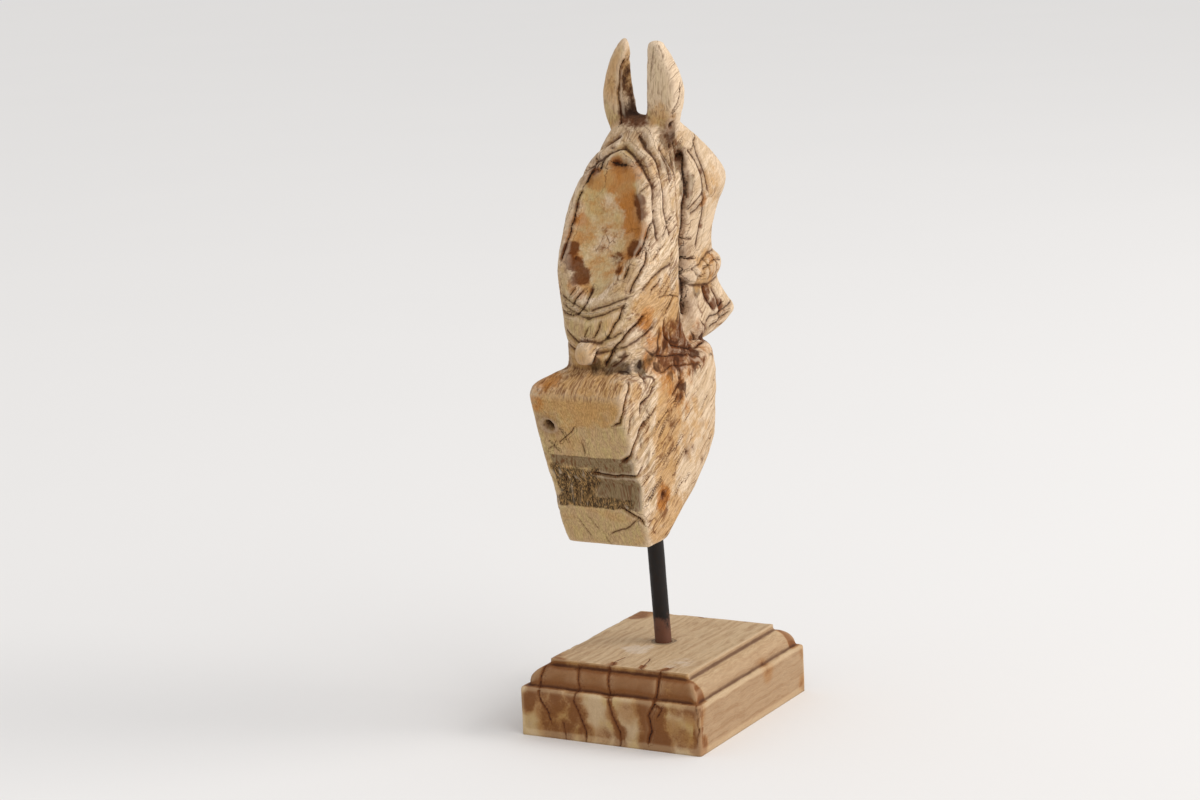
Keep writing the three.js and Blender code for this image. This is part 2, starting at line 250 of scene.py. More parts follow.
def smoothed(values, ends, rounds, share=0.5, keep=None):
    """Moves each row towards the mean of its neighbours, round by round; keep holds rows back by a share."""
    count = len(values)
    first, second = np.concatenate([ends, ends[:, ::-1]]).T
    degree = np.bincount(first, minlength=count)[:, None]
    free = share if keep is None else share * (1 - keep[:, None])
    for _ in range(rounds):
        mean = np.stack(
            [np.bincount(first, values[second, k], count) for k in range(values.shape[1])], axis=1
        ) / degree
        values = values + free * (mean - values)
    return values


def store(mesh, name, values):
    """Keeps one number per point under a name that a material can read."""
    attribute = mesh.attributes.new(name, "FLOAT", "POINT")
    attribute.data.foreach_set("value", values.astype(np.float32))


def ball(centre, radii):
    """An ellipsoid's points and triangles: rings as wide as the tilt's sine, at minus its cosine."""
    around, rows = 24, 12
    turn = np.linspace(0, 2 * np.pi, around, endpoint=False)
    tilt = np.linspace(0, np.pi, rows)[1:-1]
    ring = np.stack([np.cos(turn), np.sin(turn)], 1)
    rings = [np.column_stack([np.sin(t) * ring, np.full(around, -np.cos(t))]) for t in tilt]
    points, faces = closed_rings(rings)
    triangles = [[f[0], f[k], f[k + 1]] for f in faces for k in range(1, len(f) - 1)]
    return points * np.array(radii) + np.array(centre), np.array(triangles)


# Points of a CAD node that lie closer than this are one

MERGE = 0.002


def even_copy(node, face_size, fillings):
    """A mesh of a CAD node's surface, doubles merged, joined with ellipsoids, in even faces of one size."""
    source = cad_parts[node].data
    points, _ = mesh_arrays(source)
    corners = np.empty(len(source.loops), np.int32)
    source.loops.foreach_get("vertex_index", corners)
    rounded = np.round(points / MERGE).astype(np.int64)
    _, first, index = np.unique(rounded, axis=0, return_index=True, return_inverse=True)
    faces = index.ravel()[corners].reshape(-1, 3)
    whole = (faces[:, 0] != faces[:, 1]) & (faces[:, 1] != faces[:, 2]) & (faces[:, 0] != faces[:, 2])
    points, faces = points[first], faces[whole]
    for centre, radii in fillings:
        more, triangles = ball(centre, radii)
        faces = np.concatenate([faces, triangles + len(points)])
        points = np.concatenate([points, more])
    rough = shown_object("rough_" + node, points, faces)
    remesh = rough.modifiers.new("Even faces", "REMESH")
    remesh.mode = "VOXEL"
    remesh.voxel_size = face_size * MM
    view = bpy.context.evaluated_depsgraph_get()
    mesh = bpy.data.meshes.new_from_object(rough.evaluated_get(view))
    bpy.data.objects.remove(rough)
    mesh.shade_smooth()
    return mesh


# A line ratio too far off for any crack to show

FAR = 9.0

# A pit's line ratio for each radius of distance; below 1 its dark middle is wider than a crack's

PIT_RATIO = 0.6


class Marks:
    """Cuts and stains gathered over one surface: how far each point sinks, and what its finish shows.

    line is the sideways distance to the nearest crack over its half-width, ink how dark that crack is.
    """

    def __init__(self, points, normals):
        self.points = points
        self.normals = normals
        self.sink = np.zeros(len(points))
        self.line = np.full(len(points), FAR)
        self.ink = np.zeros(len(points))
        self.layers = {}

    def distance(self, centre):
        """How far each point is from a centre."""
        return np.linalg.norm(self.points - np.array(centre, float), axis=1)

    def darken(self, ratio, ink):
        """Keeps the ratio and the darkness of the crack that is nearest in half-widths."""
        nearer = np.abs(ratio) < np.abs(self.line)
        self.line = np.where(nearer, ratio, self.line)
        self.ink = np.where(nearer, ink, self.ink)

    def cut(self, line, half_width, depth, ink, waver=0.0, seed=0):
        """A rounded V along a line: depth times exp of minus the 1.6th power of distance over half-width.

        waver shifts the line to and fro by noise of that height.
        """
        reach = max(4 * half_width, 3)
        moved = self.points
        if waver:
            shift = cell_noise(self.points, (5, 5, 5), seed)[:, None] * waver
            moved = self.points + shift * np.array([0.6, 1, 1])
        aside = beside_line(moved, self.normals, line, reach)
        ratio = aside / half_width
        self.sink += depth * np.exp(-np.abs(ratio) ** 1.6)
        self.darken(np.where(np.abs(aside) < reach, ratio, FAR), ink)

    def pit(self, centre, radius, depth, ink):
        """A round hole: depth times exp of minus the fourth power of distance over radius."""
        ratio = self.distance(centre) / radius
        self.sink += depth * np.exp(-(ratio**4))
        self.darken(PIT_RATIO * ratio, ink)

    def lay(self, layer, values):
        """Adds values to a named layer; where they overlap the strongest counts."""
        old = self.layers.get(layer, np.zeros(len(self.points)))
        self.layers[layer] = np.maximum(old, values)

    def stain(self, layer, centre, radius, strength):
        """A soft round patch, full out to 0.4 of its radius and gone at 1.5 of it."""
        self.lay(layer, strength * smooth_step(-self.distance(centre), -1.5 * radius, -0.4 * radius))

    def store(self, mesh):
        """Writes the line, the ink and every layer into the mesh."""
        for name, values in {"line": self.line, "ink": self.ink, **self.layers}.items():
            store(mesh, name, values)


# The carving's lines, as points on its right side; the carved ones repeat on the left

MANE = [
    [
        (0, 26, 350), (-9, 31, 346), (-15, 34, 342), (-20, 36, 336),
        (-26, 36, 326), (-28, 41, 315), (-30, 42, 298),
    ],
    [(-7, 19, 355), (-14, 24, 350), (-22, 23, 339), (-26, 26, 327), (-28, 30, 312), (-30, 28, 300)],
    [(-20, 15, 347), (-23, 9, 335), (-26, 9, 324), (-28, 15, 307)],
]
JAW = [[
    (-21, -5, 341), (-22, -8, 333), (-22, -9, 324), (-22, -9, 318), (-21, -8, 311), (-20, -9, 306),
    (-19, -11, 297), (-17, -10, 289), (-15, -11, 281), (-16, -9, 273),
]]
STRAPS = [
    [(-21, -24, 347), (-21, -24, 340), (-23, -29, 332), (-23, -33, 325), (-22, -37, 316)],
    [
        (-22, -14, 342), (-23, -22, 335), (-23, -27, 327), (-23, -30, 319),
        (-22, -33, 311), (-20, -33, 301), (-17, -30, 284),
    ],
    [(-22, -30, 314), (-22, -22, 310), (-21, -14, 307)],
    [(-21, -32, 309), (-20, -24, 305), (-20, -18, 304)],
]
NOSE = [
    [(-18, -12, 269), (-18, -24, 271), (-18, -31, 272), (-17, -43, 276), (-13, -57, 277)],
    [(-17, -14, 262), (-15, -30, 259), (-15, -45, 257), (-13, -61, 260)],
    [(-18, -22, 270), (-18, -28, 262)],
    [(-18, -38, 273), (-18, -44, 261)],
]
COLLAR = [
    [(0, 78, 242), (-8, 77, 242), (-12, 75, 244), (-18, 70, 247)],
    [(-6, 77, 236), (-14, 73, 237), (-20, 67, 238), (-24, 59, 242), (-28, 49, 247)],
    [(-2, 76, 261), (-13, 72, 264), (-21, 68, 267)],
    [(0, 77, 256), (-8, 75, 258), (-13, 73, 260), (-19, 70, 262)],
    [(-27, 58, 271), (-29, 51, 276), (-30, 40, 279), (-30, 29, 281)],
]
LIPS = [
    [(-13, -78, 241), (-16, -66, 240), (-17, -55, 238), (-17, -43, 238), (-17, -36, 235)],
    [(-17, -71, 236), (-17, -61, 235), (-16, -55, 232), (-16, -46, 231)],
    [(-17, -58, 238), (-17, -57, 234)],
]

# Carved lines: the lines, their half-width, share of the groove depth and darkness

CARVED = [
    (MANE, 1.9, 1, 0.6), (JAW, 2.5, 1.5, 0.95), (STRAPS, 1.5, 0.6, 0.55),
    (NOSE, 1.2, 0.5, 0.4), (COLLAR, 1.4, 0.7, 0.45), (LIPS, 1.3, 0.6, 0.75),
]

# Wood added before the surface is rebuilt: centre and radii; the web between the ears

FILLINGS = [((1, 1, 354), (7, 7, 11))]

# Soft swellings: centre, radius and height

SWELLINGS = [
    ((-18, -26, 266), 5, 1.6), ((18, -26, 266), 5, 1.6), ((-17, -41, 267), 6, 1.8), ((17, -41, 267), 6, 1.8),
    ((-14, -56, 269), 6, 1.2), ((14, -56, 269), 6, 1.2), ((0, -79, 320), 9, 2.6), ((0, -88, 237), 8, 2.6),
    ((-10, -84, 237), 6, 1.5),
    ((-18, -27, 231), 8, 3.5), ((18, -27, 231), 8, 3.5), ((6, 0, 374), 8, 1.4),
    ((22, 50, 308), 22, 1.8), ((21, 62, 282), 16, 1.6),
]

# How far the bust's front stands out from the plain solid, by height

FRONT_HEIGHTS = [119, 123, 127, 132, 138, 143, 150, 168, 177, 186, 191, 201, 212, 222]
FRONT_SHIFTS = [-5, -5, -1, 2, 5, 6, 5, 4, 0, -4, -5, -4, -1, 0]

# Drying cracks: points, half-width, share of the full depth and darkness

CRACKS = [
    ([(10, 3, 396), (10, 7, 387), (12, 8, 378), (11, 8, 370), (10, 9, 360)], 0.9, 0.9, 0.9),
    ([(-12, 8, 404), (-10, 9, 389)], 0.5, 0.4, 0.5),
    ([(-16, 6, 405), (-18, 7, 399)], 0.5, 0.4, 0.5),
    ([(-26, 1, 381), (-25, 3, 372), (-23, 6, 366)], 0.6, 0.6, 0.8),
    ([(-19, -29, 349), (-21, -23, 345), (-22, -18, 342)], 0.8, 0.8, 0.9),
    ([(18, 45, 324), (20, 47, 318), (21, 48, 312), (22, 50, 306), (23, 55, 298), (24, 60, 286)], 0.8, 1, 1),
    ([(-20, 45, 325), (-23, 39, 329)], 0.5, 0.5, 0.7),
    ([(-27, 39, 313), (-27, 48, 305), (-26, 53, 298), (-24, 58, 291)], 0.8, 1, 1),
    ([(-28, 54, 292), (-28, 57, 285), (-25, 62, 278), (-22, 66, 271)], 0.9, 1, 0.95),
    ([(12, 69, 271), (14, 70, 268)], 0.7, 0.6, 0.8),
    ([(7, 69, 271), (12, 73, 263)], 0.8, 0.8, 0.9),
    ([(2, 65, 271), (2, 73, 264), (6, 75, 259), (10, 75, 257), (21, 68, 258)], 0.8, 0.8, 0.9),
    ([(-20, 69, 263), (-17, 72, 255), (-13, 75, 247), (-12, 75, 244)], 0.8, 0.9, 0.9),
    ([(-8, 77, 253), (-5, 78, 246)], 0.7, 0.8, 0.9),
    ([(0, 78, 250), (2, 78, 246)], 0.6, 0.6, 0.7),
    ([(-26, 58, 255), (-22, 65, 248), (-18, 70, 242), (-14, 73, 236), (-10, 75, 230)], 1.1, 1.4, 1),
    ([(-7, 78, 237), (-5, 80, 231)], 0.9, 1, 1),
    ([(-18, 65, 233), (-13, 71, 228)], 0.7, 0.8, 0.9),
    ([(-30, 42, 274), (-29, 51, 269)], 0.7, 0.8, 0.9),
    ([(-29, 43, 264), (-29, 29, 263), (-26, 13, 259)], 0.5, 0.5, 0.7),
    ([(-29, 82, 221), (-30, 89, 211), (-29, 92, 204), (-26, 91, 198), (-23, 90, 198)], 0.9, 1.2, 1),
    ([(-27, 63, 222), (-30, 64, 219)], 1.2, 1.3, 1),
    ([(-30, 55, 213), (-30, 63, 209), (-30, 72, 207), (-30, 73, 202)], 0.8, 1, 1),
    ([(-30, 68, 195), (-30, 75, 191), (-30, 81, 182), (-28, 82, 178), (-22, 82, 175)], 1, 1.4, 1),
    ([(-30, 84, 200), (-30, 87, 193)], 0.6, 0.7, 0.8),
    ([(-30, 72, 169), (-29, 77, 165), (-23, 78, 165), (-7, 78, 165), (0, 78, 166)], 0.8, 1.1, 0.9),
    ([(14, 88, 192), (12, 86, 186)], 0.6, 0.3, 0.6),
    ([(5, 89, 194), (17, 85, 185)], 0.5, 0.3, 0.7),
    ([(23, 85, 184), (19, 83, 179)], 0.5, 0.3, 0.6),
    ([(19, 85, 185), (25, 83, 179)], 0.5, 0.3, 0.6),
    ([(2, 85, 184), (2, 83, 179)], 0.6, 0.3, 0.7),
    ([(-16, 70, 143), (-24, 69, 139), (-26, 68, 136)], 0.9, 1, 1),
    ([(-24, 69, 139), (-17, 67, 133), (-4, 65, 127)], 0.6, 0.5, 0.5),
    ([(16, 67, 134), (11, 64, 125)], 0.6, 0.3, 0.35),
    ([(9, 68, 136), (5, 66, 130)], 0.6, 0.3, 0.35),
    ([(1, 64, 125), (-1, 62, 120)], 0.6, 0.3, 0.35),
    ([(-29, 38, 250), (-28, 38, 241), (-28, 28, 233), (-27, 13, 229)], 0.7, 0.7, 0.85),
    ([(-27, 13, 229), (-24, -2, 226), (-21, -12, 225), (-20, -26, 225)], 0.9, 0.9, 0.95),
    ([(-27, 16, 237), (-27, 15, 242)], 0.7, 0.6, 0.8),
    ([(-27, 45, 230), (-28, 27, 227), (-26, 6, 224)], 0.7, 0.7, 0.8),
    ([(-29, 45, 220), (-30, 26, 222), (-30, 8, 219)], 0.6, 0.5, 0.7),
    ([(-20, 63, 284), (-19, 65, 279)], 0.9, 0.7, 0.9),
    ([(-17, -11, 290), (-17, -21, 288)], 0.6, 0.6, 0.9),
    ([(-15, -13, 278), (-16, -26, 276)], 0.8, 0.8, 1),
    ([(-15, -13, 278), (-17, -8, 268), (-15, -15, 259), (-15, -16, 245)], 2.8, 1.6, 1),
    ([(-16, -39, 256), (-16, -41, 250), (-17, -47, 243)], 1.3, 0.9, 0.9),
    ([(-16, -50, 254), (-16, -54, 249), (-17, -56, 242), (-17, -62, 243)], 1.2, 0.9, 0.9),
    ([(-23, -12, 327), (-23, -11, 321), (-22, -12, 314)], 0.5, 0.5, 0.7),
    ([(-18, -34, 268), (-17, -44, 271), (-14, -57, 270)], 0.6, 0.7, 0.8),
    ([(-16, -48, 276), (-16, -52, 270), (-15, -53, 264)], 0.6, 0.7, 0.8),
    ([(-18, -24, 267), (-18, -32, 264)], 0.6, 0.6, 0.8),
    ([(-20, 6, 343), (-22, 6, 335), (-24, 5, 327)], 0.7, 0.7, 0.85),
    ([(-20, 0, 346), (-22, -3, 337), (-22, -5, 326)], 0.7, 0.7, 0.8),
    ([(-20, 17, 346), (-23, 15, 336), (-25, 17, 328)], 0.9, 0.8, 0.85),
]

# Fields of short seeded checks: how many, and two corners of their area as (y, z)

CHECK_FIELDS = [(26, (30, 130), (86, 205)), (14, (20, 240), (58, 300)), (10, (-30, 140), (60, 215))]

# Holes: centre, radius, depth and darkness

PITS = [
    ((-15, -11, 278), 4.4, 4, 1),
    ((15, -11, 278), 4.4, 4, 1),
    ((-16, -7, 272), 4.5, 3, 1),
    ((-15, -16, 248), 4.2, 3.5, 1),
    ((15, -16, 248), 4.2, 3.5, 1),
    ((7, 26, 348), 1.2, 1, 0.9),
    ((-21, 5, 359), 2.2, 1.6, 1),
    ((-23, 5, 364), 1.2, 0.8, 0.8),
    ((-18, 8, 353), 1.7, 1.1, 0.9),
    ((-20, 5, 347), 1.7, 1.2, 0.9),
    ((-20, 1, 348), 1.5, 1, 0.8),
    ((22, 89, 195), 2.8, 5, 1),
    ((20.5, 88.5, 193.5), 2.2, 2, 1),
    ((-30, 18, 167), 1.7, 1.6, 1),
    ((-30, 11, 168.5), 1.1, 0.9, 0.9),
    ((-28, -2, 158), 1.1, 0.9, 0.8),
    ((-29, 46, 148), 2, 1.5, 0.9),
]

# Slots: points, half-width, share of the full crack depth and darkness

SLOTS = [
    ([(15, 33, 341), (14, 39, 337), (16, 43, 331)], 3, 1.4, 1),
    ([(10, 33, 343), (9, 38, 338)], 2, 1, 1),
    ([(1, 35, 341), (-5, 36, 340)], 3.2, 1.4, 1),
]

# Stains by layer, and patches of painted shade: centre, radius and strength

STAINS = {
    "orange": [
        (-3, 39, 332, 10, 1), (11, 40, 331, 7, 1), (-11, 39, 335, 8, 0.9), (-10, 43, 322, 9, 0.9),
        (-16, 46, 312, 9, 1), (-19, 49, 303, 8, 1), (-18, 55, 293, 8, 0.9), (1, 36, 341, 5, 1),
        (-14, 60, 284, 6, 0.6), (5, 45, 306, 22, 0.3), (-2, 56, 284, 14, 0.35), (10, 66, 271, 8, 0.7),
        (19, 50, 305, 5, 0.5), (-28, 55, 252, 8, 0.8), (24, 84, 218, 11, 0.8), (27, 95, 208, 6, 0.6),
        (-24, 4, 228, 22, 0.5), (-28, 30, 232, 18, 0.5), (-18, -26, 224, 15, 0.5), (-29, 44, 232, 14, 0.9),
        (-30, 30, 214, 20, 0.55), (-30, 18, 202, 17, 0.4), (-29, 47, 147, 9, 0.8), (-21, -33, 310, 4, 0.8),
        (-15, -50, 268, 9, 0.5), (-17, -60, 236, 8, 0.4),
    ],
    "brown": [
        (1, 35, 341, 3, 0.9), (-19, 46, 320, 5, 1), (-20, 48, 313, 5, 1), (-20, 56, 295, 6, 1),
        (1, 4, 364, 11, 0.9), (7, 2, 378, 7, 0.6), (-8, 42, 334, 3, 0.4), (-10, 56, 288, 5, 0.6),
        (-13, 60, 282, 3, 0.6), (3, 46, 302, 3, 0.3), (2, 52, 292, 3.5, 0.35), (20, 56, 292, 5, 0.9),
        (16, 61, 283, 6, 1), (11, 63, 277, 6, 1), (6, 43, 313, 3, 0.3), (13, 38, 335, 4, 0.7),
        (-17, 44, 322, 4, 0.6), (-26, -2, 228, 15, 0.7), (-28, 32, 240, 10, 0.6), (-27, 16, 238, 14, 0.7),
        (-16, -30, 226, 12, 0.6), (-28, 40, 228, 10, 0.5), (-28, 22, 226, 12, 0.7), (-27, 2, 216, 9, 0.5),
        (-29, 46, 148, 4, 0.7), (-30, 24, 206, 9, 0.5), (-30, 40, 176, 8, 0.4), (-30, 34, 192, 8, 0.45),
        (-22, -14, 318, 5, 0.3), (-23, -28, 328, 4, 0.5), (-19, -32, 296, 4, 0.4), (-16, -42, 252, 6, 0.8),
        (-17, -50, 245, 5, 0.8), (-17, -58, 243, 5, 0.7),
    ],
    "honey": [
        (-28, 53, 259, 12, 1), (-29, 40, 262, 9, 0.9), (-29, 50, 270, 8, 0.9), (-29, 28, 254, 13, 1),
        (-29, 36, 246, 12, 1), (-26, 20, 262, 8, 0.8), (-28, 50, 285, 8, 0.4), (-30, 34, 272, 6, 0.5),
        (0, 92, 219, 26, 0.9), (-20, 92, 214, 12, 0.8), (-28, 78, 214, 9, 0.6), (-30, 36, 198, 20, 1),
        (-30, 42, 180, 17, 1), (-29, 42, 161, 14, 0.95), (-30, 10, 182, 20, 0.5), (-29, 30, 134, 14, 0.8),
        (-29, 50, 130, 14, 0.8), (-22, -42, 318, 14, 0.5), (-17, -40, 266, 14, 0.9), (16, 4, 388, 20, 0.7),
        (-16, 8, 365, 9, 0.5), (-30, -4, 172, 26, 0.35),
    ],
    "burl": [
        (-24, 0, 228, 17, 1), (-28, 28, 230, 16, 1), (-27, 14, 242, 11, 1), (-18, -28, 226, 13, 1),
        (-30, 18, 214, 16, 0.9), (-29, 44, 236, 11, 0.8), (-18, 66, 228, 10, 0.8), (-25, 57, 226, 11, 0.9),
        (-29, 50, 222, 9, 0.7),
    ],
    # Painted shade: the crease where the neck meets the block, the V between the ears, the gap under the jaw
    # and the holes by the mane
    "grime_and_shade": [
        (-5, 79, 229, 5, 0.8), (-12, 74, 228, 6, 0.8), (-18, 69, 226, 6, 0.8), (-23, 61, 226, 6, 0.7),
        (-27, 50, 228, 6, 0.5), (-15, 70, 232, 5, 0.5), (3, 2, 357, 9, 0.5), (1, 4, 367, 11, 0.5),
        (7, 1, 368, 8, 0.6), (7, 0, 380, 6, 0.4), (-22, -8, 326, 4, 0.5), (-20, 4, 352, 5, 0.7),
        (-15, -14, 262, 6, 0.7), (-16, -7, 271, 5, 1),
    ],
    "grey": [
        (8, -2, 385, 12, 0.9), (4, 8, 352, 9, 0.7), (-20, 6, 352, 9, 0.9), (-21, -4, 338, 9, 0.9),
        (-22, -10, 322, 8, 0.8), (-22, -11, 312, 6, 0.7), (-23, 14, 338, 8, 0.6), (-16, -30, 256, 5, 0.9),
        (-30, 74, 205, 16, 0.3), (-29, 72, 180, 16, 0.28), (-30, 60, 192, 14, 0.25),
    ],
    "pale": [
        (-16, -27, 246, 9, 0.5), (-20, -50, 330, 10, 0.6), (-16, 8, 388, 22, 1), (-20, 2, 395, 7, 0.8),
        (-28, 50, 290, 10, 0.8), (-26, 34, 310, 17, 0.9), (-28, -20, 190, 22, 0.2),
    ],
}

# Outline of the hollow: height and half-width, foot to top

HOLLOW_HEIGHTS = [267, 274, 282, 289, 296, 304, 313, 320, 330, 337, 343, 348, 351]
HOLLOW_HALVES = [3, 11, 16.5, 20, 22, 22.5, 21, 19.5, 16.5, 14, 11, 7, 3]

# The ears' and the head's lowest heights, the ears' tips, and how high the bust's crisp block stands

EAR_FOOT, HEAD_FOOT, EAR_TIP, BLOCK_HEIGHT = 352, 226, 404, 108

# Stains on the right side that the left side has too, weaker and a little further back and down

REPEATED_STAINS = ("honey", "orange", "brown", "pale", "burl", "grey")

# The worn recess across the back of the bust

DADO_LOW, DADO_HIGH, DADO_FRONT = 143, 176, 68


def grain_frame(angle):
    """Unit vectors along the grain, across it in the side face, and from right to left."""
    along = np.array([0, -np.cos(angle), np.sin(angle)])
    across = np.array([0, np.sin(angle), np.cos(angle)])
    return np.stack([along, across, np.array([1.0, 0, 0])])


def seeded_checks(marks, seed, count, low, high, side, depth):
    """Short drying checks along the grain on one side; places, lengths and widths are drawn at random."""
    draw = np.random.default_rng(seed)
    for _ in range(count):
        y = draw.uniform(low[0], high[0])
        z = draw.uniform(low[1], high[1])
        length = draw.uniform(4, 20)
        slope = np.radians(draw.uniform(22, 38))
        bend = draw.uniform(-1.5, 1.5)
        run, rise = length * np.cos(slope), length * np.sin(slope)
        x = side * 30
        line = [(x, y, z), (x, y - 0.5 * run, z + 0.5 * rise + bend), (x, y - run, z + rise)]
        marks.cut(line, draw.uniform(0.25, 0.55), depth * draw.uniform(0.3, 0.8), draw.uniform(0.35, 0.9))


def cut_carving(marks, settings):
    """Every carved groove, swelling, crack, slot and hole of the carving."""
    groove, crack = settings.groove_depth, settings.crack_depth
    for lines, half_width, depth, ink in CARVED:
        for i, line in enumerate(lines):
            marks.cut(line, half_width, groove * depth, ink, waver=0.5, seed=11 + i)
            marks.cut(mirrored(line), half_width, groove * depth, ink, waver=0.5, seed=31 + i)
    for centre, radius, height in SWELLINGS:
        marks.sink -= height * np.exp(-((marks.distance(centre) / radius) ** 2))
    for i, (line, half_width, depth, ink) in enumerate(CRACKS):
        marks.cut(line, half_width, crack * depth, ink, waver=0.8, seed=51 + i)
    for line, half_width, depth, ink in SLOTS:
        marks.cut(line, half_width, crack * depth, ink)
    for hole in PITS:
        marks.pit(*hole)
    for side, seed in ((-1, 5), (1, 6)):
        for i, (count, low, high) in enumerate(CHECK_FIELDS):
            seeded_checks(marks, seed + 10 * i, count, low, high, side, crack)


def stain_carving(marks):
    """The listed stains, and those of the right side again on the left."""
    for layer, patches in STAINS.items():
        for x, y, z, radius, strength in patches:
            marks.stain(layer, (x, y, z), radius, strength)
            if layer in REPEATED_STAINS and x < -12:
                marks.stain(layer, (-x, y + 4, z - 4), radius * 0.9, strength * 0.7)


def recess_zones(points, normals):
    """Shares of the recess across the back, and of the rot in its left part and along its foot."""
    x, y, z = points.T
    level = smooth_step(z, DADO_LOW - 1, DADO_LOW + 1.5) * smooth_step(-z, -DADO_HIGH - 1, -DADO_HIGH + 1)
    back = smooth_step(y, DADO_FRONT, DADO_FRONT + 3) * smooth_step(np.abs(normals[:, 0]), 0.75, 0.45)
    recess = level * back
    uneven = 3 * layered_noise(points, (8, 8, 8), 151, 3)
    x, z = x + uneven, z + 0.6 * uneven
    left_part = smooth_step(x + 0.4 * (z - 160), -6, 2) * smooth_step(-z, -172, -165)
    left_part = left_part * smooth_step(-x, -28, -25)
    foot = smooth_step(-z, -151, -148.5) * smooth_step(x, -24, -19)
    return recess, recess * np.maximum(left_part, foot)


def finish_zones(marks):
    """Finishes that follow the form: hollow, recess, rot, ears, calmer wood in front and combed tool marks.
    On the ears it paints shade on the left ear's inner face and light on the right ear's outer face.

    Returns the share of the recess at each point.
    """
    points, normals = marks.points, marks.normals
    x, y, z = points.T
    facing_back = smooth_step(normals[:, 1], 0.25, 0.6)
    half = np.interp(z, HOLLOW_HEIGHTS, HOLLOW_HALVES, left=0, right=0)
    hollow = smooth_step(half - np.abs(x), -1, 1.5) * facing_back * (z > HOLLOW_HEIGHTS[0])
    marks.lay("hollow", hollow)
    recess, rot = recess_zones(points, normals)
    marks.lay("rot", rot)
    marks.lay("grey", 0.95 * recess * (1 - rot) * smooth_step(-x, -27, -23))

    ear = smooth_step(z, EAR_FOOT, EAR_FOOT + 8)
    # Painted shade: the left ear's inner face, turned towards the other ear, is darkened with the grime and
    # brown layers
    inner_ear_shade = smooth_step(-normals[:, 0], 0.1, 0.55) * (x > 0) * (z > EAR_FOOT)
    inner_ear_shade *= np.interp(z, [EAR_FOOT, EAR_FOOT + 23, EAR_TIP], [1, 0.75, 0.35])
    marks.lay("grime_and_shade", 0.7 * inner_ear_shade)
    marks.lay("brown", 0.7 * inner_ear_shade)
    # Painted light: the right ear's outer face, turned towards the key light, is made pale
    marks.lay("pale", smooth_step(-normals[:, 0], 0.55, 0.8) * (x < 0) * (z > EAR_FOOT + 2))

    head = 0.85 * smooth_step(-y, 0, 14) * smooth_step(z, HEAD_FOOT, HEAD_FOOT + 10)
    bust_front = 0.8 * smooth_step(-y, -45, -10) * (z < HEAD_FOOT)
    for share in (head, bust_front, ear, hollow):
        marks.lay("calm", share)
    crown = smooth_step(y, 60, 70) * smooth_step(z, 208, 214) * smooth_step(-z, -230, -226)
    marks.lay("hatch", np.maximum(crown, 0.6 * ear * facing_back))
    return recess


def carve(points, normals, settings):
    """The carving's marks, and how far its surface moves out along its normals, in millimetres.

    The move is noise: streaks, waves and chips stretched along the grain, lumps on end grain, upright tool
    marks in the recess, fibres in the rot and bent sine bands in the burl, less what the marks sink.
    """
    marks = Marks(points, normals)
    axes = grain_frame(settings.grain_angle)
    grain = points @ axes.T
    facing = normals @ axes[0]
    end_grain = smooth_step(np.abs(facing), 0.45, 0.8) * (1 - 0.6 * smooth_step(facing, 0, 0.3))
    marks.lay("end_grain", end_grain)
    cut_carving(marks, settings)
    stain_carving(marks)
    recess = finish_zones(marks)

    side_share = 1 - end_grain
    streaks = layered_noise(grain, (26, 2.6, 3.6), 101, 2)
    waves = layered_noise(grain, (60, 14, 16), 105, 2)
    lumps = layered_noise(points, (9, 9, 9), 111, 3)
    fibres = layered_noise(points, (2.2, 3, 9), 115, 2)
    chips = np.maximum(layered_noise(grain, (14, 3, 4), 121, 3) - 0.46, 0)
    tool_marks = layered_noise(points, (1.8, 9, 16), 141, 2)
    warp = np.stack([layered_noise(points, (9, 9, 9), 131 + k, 2) for k in range(3)], axis=1)
    swirl = np.sin(11 * layered_noise(points + 4 * warp, (12, 12, 12), 137, 2))
    burl = marks.layers["burl"]
    marks.lay("figure", burl * smooth_step(-swirl, 0.2, 1.0))
    move = -marks.sink
    move += settings.relief * (side_share * streaks + 0.45 * end_grain * lumps)
    move += 0.5 * waves * (1 - 0.6 * end_grain)
    move -= 2.2 * side_share * chips
    move += 0.35 * marks.layers["hollow"] * lumps
    move += 0.3 * marks.layers["grey"] * recess * tool_marks
    move += marks.layers["rot"] * (1.1 * fibres - 0.6 + 0.6 * lumps)
    move += 0.35 * burl * swirl
    return marks, move


def edges_and_creases(points, normals, ends):
    """How far each point stands out from its smoothed surroundings, from -1 in corners to 1 on edges. The
    materials darken the corners as painted shade and pale the edges as wear with a painted highlight.
    """
    mean = smoothed(points, ends, 14)
    out = np.einsum("ij,ij->i", points - mean, normals)
    return np.clip(out / 0.6, -1, 1)


